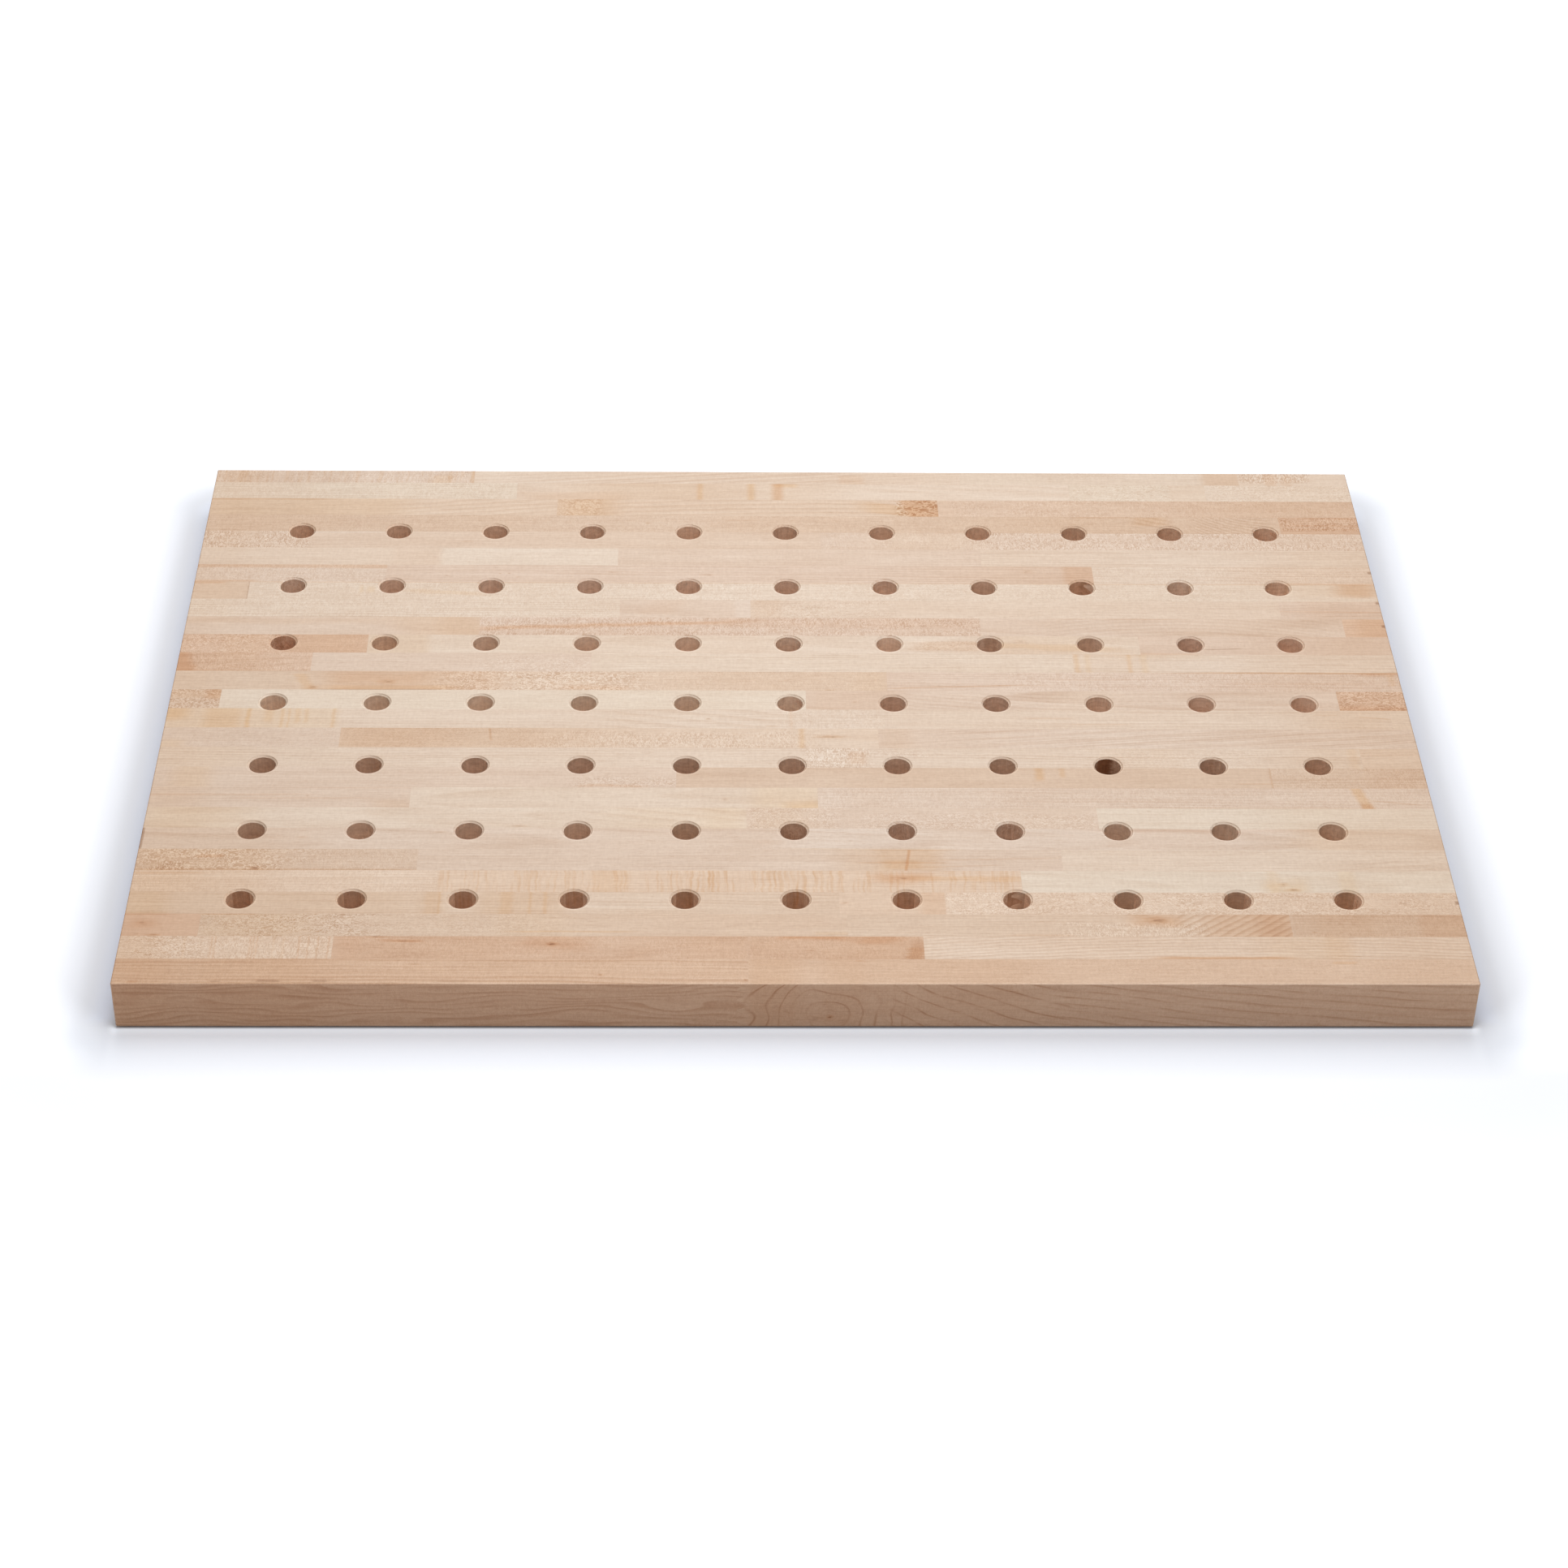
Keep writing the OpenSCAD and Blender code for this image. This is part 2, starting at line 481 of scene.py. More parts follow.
class MapleGroups:
    """The shader node groups that all the staves share. Lengths are in mm from the middle of the strip."""

    def __init__(self) -> None:
        """Builds each group once."""
        self.space = self._space()
        self.window = self._window()
        self.grain = self._grain()
        self.patch = self._patch()
        self.fleck = self._fleck()
        self.curl = self._curl()
        self.sweep = self._sweep()
        self.figure = self._figure()
        self.eye = self._eye()
        self.knot = self._knot("pin_knot", upright=False)
        self.pin = self._knot("edge_knot", upright=True)
        self.faces = self._faces()

    def _space(self) -> bpy.types.NodeTree:
        """Turns object coordinates into a stave's own millimetres, with two noises for ragged edges."""
        g = Group("stave_space", {"Object": VECTOR, **floats("Middle", "Top", "Seed")}, STAVE)
        place = g.vector("MULTIPLY", g["Object"], (1 / MM,) * 3)
        place = g.vector("SUBTRACT", place, g.place(0.0, g["Middle"], g["Top"]))
        drift = g.vector("ADD", place, g.vector("MULTIPLY", g["Seed"], SEED_SHIFT))
        feather = g.sway(drift, Sway.FEATHER)
        return g.end(Place=place, Drift=drift, Feather=feather, Waver=g.sway(drift, Sway.WAVER))

    def _window(self) -> bpy.types.NodeTree:
        """Masks the part of a stave between two places along it and two places across it."""
        g = Group("stave_window", {**STAVE, **WINDOW}, floats("Mask"))
        x, y, _ = g.axes(g["Place"])
        along = x - g["Slant"] * y + g["Feather"] * g["Ragged"]
        across = y - (x - g["Start"]) * g["Rise"] + g["Waver"] * g["Edge"]
        lengthwise = g.between(along, g["Start"], g["End"], g["Fade"])
        return g.end(Mask=lengthwise * g.between(across, g["Low"], g["High"], g["Edge"]))

    def _grain(self) -> bpy.types.NodeTree:
        """Growth rings round a pith, with fibres, broad streaks, clouds and fine dashes."""
        pith = floats("Slope", "Pith Across", "Pith Height", "Ring Width", "Lean", "Wander")
        inputs = {**STAVE, "Tone": COLOUR, **pith, **floats("Lines", "Fibre", "Cloud")}
        g = Group("maple_grain", inputs, {**PAINTED, "Height": FLOAT})
        drift = g["Drift"]
        x, y, z = g.axes(g["Place"])
        side = y - g["Pith Across"] - x * g["Slope"] + g.sway(drift, Sway.BEND) * g["Wander"]
        sink = z - g["Pith Height"] - x * g["Lean"]
        reach = g.hypot(side, sink)
        feeds = {"W": reach * UNEVEN_RATE, "Scale": 1.0}
        uneven = Wire(g, g.node("ShaderNodeTexNoise", feeds, noise_dimensions="1D").outputs["Fac"])
        ring = reach / g["Ring Width"] + uneven * UNEVEN_RINGS
        late = g.ring_line(ring, *LATE_WOOD) * g.gate(drift, Gate.RINGS)
        year = g.spread(g.chance(g.math("FLOOR", ring)), YEAR_SPREAD)
        clouds = g.sway(drift, Sway.BROAD) + g.sway(drift, Sway.CLOUD)
        dashes = g.gate(drift, Gate.DASHES)
        fibre = g.sway(drift, Sway.FIBRE)
        depth = (late + year) * g["Lines"] + clouds * g["Cloud"] + dashes * g["Fibre"]
        fine = (fibre + g.sway(drift, Sway.MOTTLE) + g.sway(drift, Sway.CHATTER)) * g["Fibre"]
        colour = g.stain(g.stain(g["Tone"], depth, Bite.WARM), fine, Bite.FINE)
        return g.end(Colour=colour, Height=(fibre - late) * 0.5)

    @staticmethod
    def _mark(name: str, *own: str) -> Group:
        """Starts the group of a mark that covers a part of a stave, with the mark's own inputs."""
        return Group(name, {**PAINTED, **STAVE, **WINDOW, **floats(*own)}, PAINTED)

    def _masked(self, g: Group) -> Wire:
        """Places the window group inside the group of a mark and gives its mask."""
        feeds = {label: g[label] for label in (*STAVE, *WINDOW)}
        return Wire(g, g.node("ShaderNodeGroup", feeds, node_tree=self.window).outputs["Mask"])

    def _patch(self) -> bpy.types.NodeTree:
        """A stained or pale patch, bar or streak."""
        inputs = {**PAINTED, **STAVE, **WINDOW, "Tint": VECTOR, "Strength": FLOAT}
        g = Group("stave_patch", inputs, PAINTED)
        change = g.vector("SUBTRACT", g["Tint"], WHITE)
        filtered = g.vector("MULTIPLY_ADD", change, self._masked(g) * g["Strength"], WHITE)
        return g.end(Colour=g.vector("MULTIPLY", g["Colour"], filtered))

    def _fleck(self) -> bpy.types.NodeTree:
        """Ray flecks: small light strokes with darker gaps between them."""
        g = self._mark("ray_fleck", "Length", "Height", "Light", "Dark")
        x, y, z = g.axes(g["Drift"])
        length, height = g["Length"] * FLECK_SIZE, g["Height"] * FLECK_SIZE
        stroke = g.place(x / length, y / height, z / FLECK_REACH)
        spot = g.math("ABSOLUTE", g.sway(stroke, Sway.STROKE, FLECK_WARP))
        mask = self._masked(g) * g.gate(g["Drift"], Gate.FLECKS) * FLECK_DEPTH
        colour = g.stain(g["Colour"], g.ramp(spot, Ramp.STROKE) * mask * g["Light"], Bite.STROKE)
        dark = g.ramp(spot, Ramp.STROKE_GAP) * mask * g["Dark"]
        return g.end(Colour=g.stain(colour, dark, Bite.WARM))

    def _curl(self) -> bpy.types.NodeTree:
        """Curly figure: soft amber bars that stand across the grain."""
        g = self._mark("curl_bars", "Pitch", "Depth")
        x, y, z = g.axes(g["Drift"])
        along = (x + g["Waver"] * CURL_WAVER) / g["Pitch"]
        bars = g.gate(g.place(along, y / CURL_LENGTH, z / CURL_LENGTH), Gate.CURL)
        return g.end(Colour=g.stain(g["Colour"], bars * self._masked(g) * g["Depth"], Bite.AMBER))

    @staticmethod
    def _path(g: Group, far: Wire) -> Wire:
        """Gives how far a ring line has run out sideways at a distance along it."""
        return far * g["Run"] + far * far * g["Bow"]

    def _sweep(self) -> bpy.types.NodeTree:
        """Ring lines that run out across the face where the grain dives or turns round a knot."""
        g = self._mark("sweep_lines", "Run", "Bow", "Pitch", "Depth")
        x, y, _ = g.axes(g["Place"])
        path = self._path(g, x - (g["Start"] + g["End"]) * 0.5)
        ring = (y - path + g.sway(g["Drift"], Sway.WOBBLE)) / g["Pitch"]
        amount = g.ring_line(ring, *SWEEP_LINE) * self._masked(g) * g["Depth"]
        return g.end(Colour=g.stain(g["Colour"], amount, Bite.WARM))

    def _figure(self) -> bpy.types.NodeTree:
        """Ring lines on the front and back edges of the top, which wave and run up or down."""
        g = self._mark("edge_figure", "Run", "Bow", "Pitch", "Swirl", "Wave", "Thin", "Depth", "Cut")
        x, _, z = g.axes(g["Place"])
        along, across, up = g.axes(g["Drift"])
        waves = g.sway(g.place(along / g["Wave"], across, up / FIGURE_HEIGHT), Sway.FIGURE)
        reach = z + self._path(g, x - g["Start"]) + waves * g["Swirl"]
        return self._edge_lines(g, reach, Gate.FIGURE)

    def _eye(self) -> bpy.types.NodeTree:
        """Ring lines on the front and back edges that close round a pin knot."""
        g = self._mark("edge_eye", "X", "Up", "Pitch", "Swirl", "Thin", "Depth", "Cut")
        x, _, z = g.axes(g["Place"])
        reach = g.hypot(x - g["X"], z - g["Up"]) + g.sway(g["Drift"], Sway.EYE) * g["Swirl"]
        return self._edge_lines(g, reach, Gate.EYE)

    def _edge_lines(self, g: Group, reach: Wire, gate: Gate) -> bpy.types.NodeTree:
        """Draws ring lines on the front and back edges, and ends the group.

        Args:
            g: the group.
            reach: distance that the rings are counted by, in mm.
            gate: where the lines come and go.

        Returns:
            The group's tree.
        """
        line = g.ring_line(reach / g["Pitch"], g["Thin"], EDGE_PEAK) * g.gate(g["Drift"], gate)
        amount = line * self._masked(g) * g.is_cut(g["Cut"], Cut.EDGE) * g["Depth"]
        return g.end(Colour=g.stain(g["Colour"], amount, Bite.WARM))

    def _knot(self, name: str, upright: bool) -> bpy.types.NodeTree:
        """A pin knot or a short dark mark: a stained halo round a darker heart.

        Args:
            name: the group's name.
            upright: True for one on the front and back edges, False for one on the top.

        Returns:
            The group's tree.
        """
        own = floats("X", "Y", "Length", "Height", "Depth", "Cut")
        g = Group(name, {**PAINTED, **STAVE, **own}, PAINTED)
        x, y, z = g.axes(g["Place"])
        beside, above = x - g["X"], (z if upright else y) - g["Y"]
        away = g.hypot(beside / g["Length"], above / g["Height"]) + g.sway(g["Drift"], Sway.KNOT)
        depth = g["Depth"] * g.is_cut(g["Cut"], Cut.EDGE if upright else Cut.PLANED)
        colour = g.stain(g["Colour"], g.ramp(away, Ramp.HALO) * depth, Bite.HALO)
        return g.end(Colour=g.stain(colour, g.ramp(away, Ramp.HEART) * depth, Bite.HEART))

    def _faces(self) -> bpy.types.NodeTree:
        """Tones each kind of face: scorched bores, unmarked ends with open pores, and painted light and
        shade on bored walls, rims, arrises, edges and the foot.
        """
        own = floats("Cut", "Row", "Hole Pitch", "Last Column", "Mouth")
        inputs = {**PAINTED, "Bare": COLOUR, **STAVE, **own}
        g = Group("cut_faces", inputs, {**PAINTED, "Roughness": FLOAT})
        drift, last = g["Drift"], g["Last Column"]
        on = {kind: g.is_cut(g["Cut"], kind) for kind in Cut}
        x, y, z = g.axes(g["Place"])
        column = g.math("MINIMUM", g.math("ROUND", x / g["Hole Pitch"]), last)
        column = g.math("MAXIMUM", column, last * -1.0)
        beside = x - column * g["Hole Pitch"]
        before = y - g["Row"]
        lip = g.hypot(beside, before) - g["Mouth"]
        # Painted shade: the right side of each hole's chamfer and of the line round its mouth is darkened
        shaded = g.ramp(beside, Ramp.RIGHT_OF_HOLE)
        # Painted shade line round each mouth, deepest on the right
        line = g.ramp(lip, Ramp.LIP_OUTSIDE) * g.ramp(lip, Ramp.LIP_INSIDE) * (shaded + LIP_LEAST)
        # Painted highlight: the top is lightened in a thin band before the front of each mouth
        front_highlight = g.ramp(lip, Ramp.WORN_LIP) * g.ramp(before, Ramp.FRONT_OF_HOLE) * on[Cut.PLANED]
        hole = g.spread(g.chance(g.math("MULTIPLY_ADD", g["Row"], ROW_STRIDE, column)), HOLE_SPREAD)
        scorch = (g.sway(drift, Sway.DRILL) + g.sway(drift, Sway.SCORCH) + hole) * on[Cut.BORED]
        fuzzy = g.ramp(g.math("ABSOLUTE", beside), Ramp.SIDES_OF_HOLE) * on[Cut.BORED]
        # Painted shade: warmer and darker towards both ends
        end_falloff = g.ramp(x, Ramp.RIGHT_END) + g.ramp(x, Ramp.LEFT_END) * LEFT_FALLOFF
        pores = (g.sway(drift, Sway.PORES) + PORE_DEPTH) * on[Cut.END]
        unmarked = on[Cut.END] * g.ramp(z, Ramp.BELOW_ARRIS)
        bared = g.vector("SUBTRACT", g["Bare"], g["Colour"])
        colour = g.vector("MULTIPLY_ADD", bared, unmarked, g["Colour"])
        for amount, bite in (
            # painted light on the bored walls
            (on[Cut.BORED], Bite.BORE),
            (scorch, Bite.SCORCH),
            # duller end grain on the sides of each bore
            (fuzzy, Bite.DULL),
            # painted highlight on each chamfer
            (on[Cut.RIM], Bite.RIM),
            # painted shade on the right of each chamfer
            (shaded * on[Cut.RIM], Bite.DULL),
            (front_highlight, Bite.WORN),
            # painted shade line round each mouth
            (line, Bite.LIP),
            (end_falloff, Bite.OIL),
            # painted highlight on the top arrises
            (on[Cut.ARRIS], Bite.ARRIS),
            # painted shade on the lower arrises
            (on[Cut.FOOT], Bite.FOOT),
            # painted shade on the front and back faces
            (on[Cut.EDGE], Bite.EDGE),
            (pores, Bite.END),
        ):
            colour = g.stain(colour, amount, bite)
        rough = (on[Cut.BORED] + on[Cut.END]) * OPEN_GRAIN + g["Feather"] * SATIN_SWAY + SATIN
        return g.end(Colour=colour, Roughness=rough)


@dataclass(frozen=True)
class Brush:
    """What a mark needs to lay itself on one stave's material."""

    graph: Graph
    groups: MapleGroups
    common: dict[str, bpy.types.NodeSocket]
    half_length: float
    width: float
    thickness: float

    def along(self, x: float) -> float:
        """Turns a distance from the left end into a place along the stave."""
        return x - self.half_length

    def across(self, share: float) -> float:
        """Turns a share of the strip's width, from the front, into a place across the stave."""
        return (share - 0.5) * self.width

    def above(self, height: float) -> float:
        """Turns a height above the underside into a place below the top face."""
        return height - self.thickness

    def place(self, group: bpy.types.NodeTree, feeds: dict[str, Feed]) -> bpy.types.Node:
        """Places one of the shared groups in the material and feeds all its inputs.

        Args:
            group: the shader group.
            feeds: values of its own, by input name.

        Returns:
            The group's node.
        """
        given = {**self.common, **feeds}
        labels = [item.name for item in group.interface.items_tree if item.in_out == "INPUT"]
        return self.graph.node("ShaderNodeGroup", {label: given[label] for label in labels}, node_tree=group)


class Mark:
    """Something that is seen on a stave, drawn by one of the shared groups."""

    group: ClassVar[str]

    def feeds(self, brush: Brush) -> dict[str, Feed]:
        """Gives the inputs of the mark's group. Each has the name of a field, unless the mark changes it.

        Args:
            brush: the stave that the mark lies on.

        Returns:
            Values by input name.
        """
        return {name.title(): value for name, value in vars(self).items()}

    def lay(self, brush: Brush, colour: bpy.types.NodeSocket) -> bpy.types.NodeSocket:
        """Lays the mark on a colour and gives the result."""
        feeds = {**self.feeds(brush), "Colour": colour}
        return brush.place(getattr(brush.groups, self.group), feeds).outputs["Colour"]


@dataclass(frozen=True)
class Span(Mark):
    """The part of a stave that a mark covers: mm from the left end, shares of the width from the front."""

    start: float
    end: float
    fade: float = 4.0
    low: float = -0.5
    high: float = 1.5
    edge: float = 0.06
    slant: float = 0.0
    rise: float = 0.0
    ragged: float = 2.0

    def feeds(self, brush: Brush) -> dict[str, Feed]:
        """Gives the inputs, with the limits as places on the stave."""
        limits = {"Start": brush.along(self.start), "End": brush.along(self.end)}
        limits.update({"Low": brush.across(self.low), "High": brush.across(self.high)})
        return {**super().feeds(brush), **limits, "Edge": self.edge * brush.width}


@dataclass(frozen=True)
class Patch(Span):
    """A stained or pale part of a stave."""

    tint: Tint = Tint.TAN
    strength: float = 0.5
    group: ClassVar[str] = "patch"

    def feeds(self, brush: Brush) -> dict[str, Feed]:
        """Gives the inputs, with the tint as a filter."""
        return {**super().feeds(brush), "Tint": self.tint.value}


@dataclass(frozen=True)
class Burn(Patch):
    """A part of a bored wall that the drill scorched."""

    tint: Tint = Tint.UMBER
    strength: float = 0.8

    def feeds(self, brush: Brush) -> dict[str, Feed]:
        """Gives the inputs, with no strength but on bored walls."""
        bored = brush.graph.is_cut(brush.common["Cut"], Cut.BORED)
        return {**super().feeds(brush), "Strength": bored * self.strength}


@dataclass(frozen=True)
class Fleck(Span):
    """A part of a stave that shows ray flecks."""

    length: float = 3.4
    height: float = 2.2
    light: float = 0.10
    dark: float = 0.10
    group: ClassVar[str] = "fleck"


@dataclass(frozen=True)
class Curl(Span):
    """A part of a stave with bars of curly figure."""

    pitch: float = 7.0
    depth: float = 0.07
    group: ClassVar[str] = "curl"


@dataclass(frozen=True)
class Sweep(Span):
    """A part of a stave whose ring lines run across it."""

    run: float = 0.1
    bow: float = 0.0
    pitch: float = 5.0
    depth: float = 0.07
    group: ClassVar[str] = "sweep"


@dataclass(frozen=True)
class Figure(Span):
    """Ring lines on the front or back edge of the top, which wave, dive or climb."""

    run: float = 0.0
    bow: float = 0.0
    pitch: float = 3.6
    swirl: float = 4.0
    wave: float = 58.0
    thin: float = 0.35
    depth: float = 0.14
    group: ClassVar[str] = "figure"


@dataclass(frozen=True)
class Eye(Span):
    """Ring lines that close round a place on the front or back edge: mm along it and above the underside."""

    x: float = 0.0
    up: float = 0.0
    pitch: float = 9.0
    swirl: float = 8.0
    thin: float = 0.74
    depth: float = 0.34
    group: ClassVar[str] = "eye"

    def feeds(self, brush: Brush) -> dict[str, Feed]:
        """Gives the inputs, with the middle as a place on the stave."""
        return {**super().feeds(brush), "X": brush.along(self.x), "Up": brush.above(self.up)}


@dataclass(frozen=True)
class Knot(Mark):
    """A pin knot, or a short dark mark, at a distance from the left end and a share of the width."""

    x: float
    y: float
    length: float
    height: float
    depth: float = 0.6
    group: ClassVar[str] = "knot"

    def feeds(self, brush: Brush) -> dict[str, Feed]:
        """Gives the inputs, with the middle as a place on the stave."""
        return {**super().feeds(brush), "X": brush.along(self.x), "Y": brush.across(self.y)}


@dataclass(frozen=True)
class Pin(Knot):
    """A pin knot on the front or back edge. Its second number is its height above the underside, in mm."""

    group: ClassVar[str] = "pin"

    def feeds(self, brush: Brush) -> dict[str, Feed]:
        """Gives the inputs, with the middle as a place on the edge."""
        return {**super().feeds(brush), "Y": brush.above(self.y)}


@dataclass(frozen=True)
class Stave:
    """One stave and its maple finish. Its right end is in mm from the left end, None for the top's end."""

    end: float | None
    tone: Tone
    sawn: Sawn
    lines: float
    slope: float = 0.0
    marks: tuple[Mark, ...] = ()

    # Depth of ring lines on the top and on the edges, of fibres and of clouds
    ring_depth: ClassVar[float] = 0.15
    edge_ring_depth: ClassVar[float] = 0.05
    fibre_depth: ClassVar[float] = 0.145
    cloud_depth: ClassVar[float] = 0.078
    # Steps by which the pith and the rings of neighbouring staves differ, in mm
    pith_step: ClassVar[float] = 2.0
    ring_step: ClassVar[float] = 0.12
    # Relief of the grain, its share, and the strength of reflections
    relief: ClassVar[float] = 0.12 * MM
    relief_share: ClassVar[float] = 0.12
    specular: ClassVar[float] = 0.32

    def finish(
        self, name: str, seed: int, groups: MapleGroups, middle: float, width: float, holes: dict[str, float]
    ) -> bpy.types.Material:
        """Makes the stave's material.

        Args:
            name: the material's name.
            seed: moves the grain, so that no two staves match.
            groups: the shared node groups.
            middle: middle of the strip across the top, in mm.
            width: width of the strip, in mm.
            holes: where the shader finds the mouths of the strip's holes.

        Returns:
            The material.
        """
        material = bpy.data.materials.new(name)
        material.use_nodes = True
        material.node_tree.nodes.clear()
        g = Graph(material.node_tree)
        low, high = CAD_BOX
        top = high.z / MM
        spot = g.node("ShaderNodeTexCoord").outputs["Object"]
        feeds = {"Object": spot, "Middle": middle, "Top": top, "Seed": float(seed)}
        space = g.node("ShaderNodeGroup", feeds, node_tree=groups.space)
        cut = g.node("ShaderNodeAttribute", attribute_name=CUT_ATTRIBUTE).outputs["Fac"]
        common = {"Cut": cut, **{label: space.outputs[label] for label in STAVE}}
        brush = Brush(g, groups, common, (high.x - low.x) / 2 / MM, width, top)
        grain = brush.place(groups.grain, self._grain(g.is_cut(cut, Cut.EDGE), seed))
        colour = grain.outputs["Colour"]
        for mark in self.marks:
            colour = mark.lay(brush, colour)
        faces = brush.place(groups.faces, {"Colour": colour, "Bare": grain.outputs["Colour"], **holes})
        feeds = {"Strength": self.relief_share, "Distance": self.relief, "Height": grain.outputs["Height"]}
        shader = g.node(
            "ShaderNodeBsdfPrincipled",
            {
                "Base Color": faces.outputs["Colour"],
                "Roughness": faces.outputs["Roughness"],
                "Normal": g.node("ShaderNodeBump", feeds).outputs["Normal"],
                "Specular IOR Level": self.specular,
            },
        )
        g.node("ShaderNodeOutputMaterial", {"Surface": shader.outputs["BSDF"]})
        return material

    def _grain(self, on_edge: Wire, seed: int) -> dict[str, Feed]:
        """Gives the inputs of the grain, which differ a little from stave to stave.

        Args:
            on_edge: 1 on the front and back edges of the top.
            seed: the stave's number.

        Returns:
            Values by input name.
        """
        across, height, ring, lean, wander = self.sawn.value
        turn = -1.0 if seed % 2 else 1.0
        depth = self.ring_depth * self.lines
        return {
            "Tone": (*self.tone.value, 1.0),
            "Slope": self.slope,
            "Pith Across": turn * across,
            "Pith Height": height - seed % 7 * self.pith_step,
            "Ring Width": ring + seed % 5 * self.ring_step,
            "Lean": turn * lean,
            "Wander": wander,
            "Lines": on_edge * (self.edge_ring_depth - depth) + depth,
            "Fibre": self.fibre_depth,
            "Cloud": self.cloud_depth,
        }


# Softness of a bar's ends, as a share of its length, and what is added to it, in mm
BAR_SOFT, BAR_LEAST = 0.35, 0.3
# Softness of a streak's ends, as a share of its length, and of its sides, as a share of its thickness
STREAK_SOFT, STREAK_EDGE = 0.15, 0.35
# A nick: where it starts and ends, its softness (mm), half its width as a share of the strip's, its strength
NICK_SPAN, NICK_FADE, NICK_HALF, NICK_STRENGTH = (911.5, 920), 0.8, 0.07, 0.8


def stave(
    end: float | None, tone: Tone, sawn: Sawn, lines: float, *marks: Mark, slope: float = 0.0
) -> Stave:
    """Writes down one stave of the cut list.

    Args:
        end: its right end, in mm from the left end of the top, or None for the last one.
        tone: its ground colour.
        sawn: how it was sawn.
        lines: how strong its ring lines are.
        *marks: what is seen on it.
        slope: how far the rings run sideways, in mm per mm.

    Returns:
        The stave.
    """
    return Stave(end, tone, sawn, lines, slope, marks)


def bars(
    tint: Tint, strength: float, *places: tuple[float, float], low: float = -0.5, high: float = 1.5
) -> tuple[Patch, ...]:
    """Makes several narrow bars across a stave.

    Args:
        tint: their filter.
        strength: how strong it is.
        *places: where each starts and ends, in mm from the left end.
        low: lowest share of the width that they reach.
        high: highest share.

    Returns:
        The bars.
    """
    shape = {"low": low, "high": high, "edge": 0.12, "ragged": 0.9}
    return tuple(cast(a, b, tint, strength, BAR_SOFT * (b - a) + BAR_LEAST, **shape) for a, b in places)


def ticks(start: float, end: float, dark: float = 0.14, light: float = 0.10, **span: float) -> Fleck:
    """Makes ray flecks that stand across the grain.

    Args:
        start: where they begin, in mm from the left end.
        end: where they stop.
        dark: depth of the gaps.
        light: strength of the strokes.
        **span: other limits of the part that they cover.

    Returns:
        The flecks.
    """
    return Fleck(start, end, length=1.9, height=5.5, light=light, dark=dark, **span)


def streak(
    start: float, end: float, at: float, tint: Tint, strength: float, thick: float = 0.07, rise: float = 0.0
) -> Patch:
    """Makes a line along the grain.

    Args:
        start: where it begins, in mm from the left end.
        end: where it stops.
        at: share of the width at its middle.
        tint: its filter.
        strength: how strong it is.
        thick: its thickness, as a share of the width.
        rise: how far it climbs, in mm per mm.

    Returns:
        The streak.
    """
    shape = {"low": at - thick / 2, "high": at + thick / 2, "edge": STREAK_EDGE * thick, "rise": rise}
    return cast(start, end, tint, strength, STREAK_SOFT * (end - start), **shape)


def cast(start: float, end: float, tint: Tint, strength: float, fade: float = 20.0, **span: float) -> Patch:
    """Makes a change of tone, soft and across the whole width of a stave if nothing else is said.

    Args:
        start: where it begins, in mm from the left end.
        end: where it stops.
        tint: its filter.
        strength: how strong it is.
        fade: how softly it begins and stops, in mm.
        **span: other limits of the part that it covers.

    Returns:
        The cast.
    """
    return Patch(start, end, fade, tint=tint, strength=strength, **span)


def nick(at: float) -> Patch:
    """Makes a small dark nick in the arris at the right end of a strip, at a share of its width."""
    shape = {"low": at - NICK_HALF, "high": at + NICK_HALF, "edge": 0.04, "ragged": 0.4}
    return cast(*NICK_SPAN, Tint.UMBER, NICK_STRENGTH, NICK_FADE, **shape)


T, S, C = Tone, Sawn, Tint
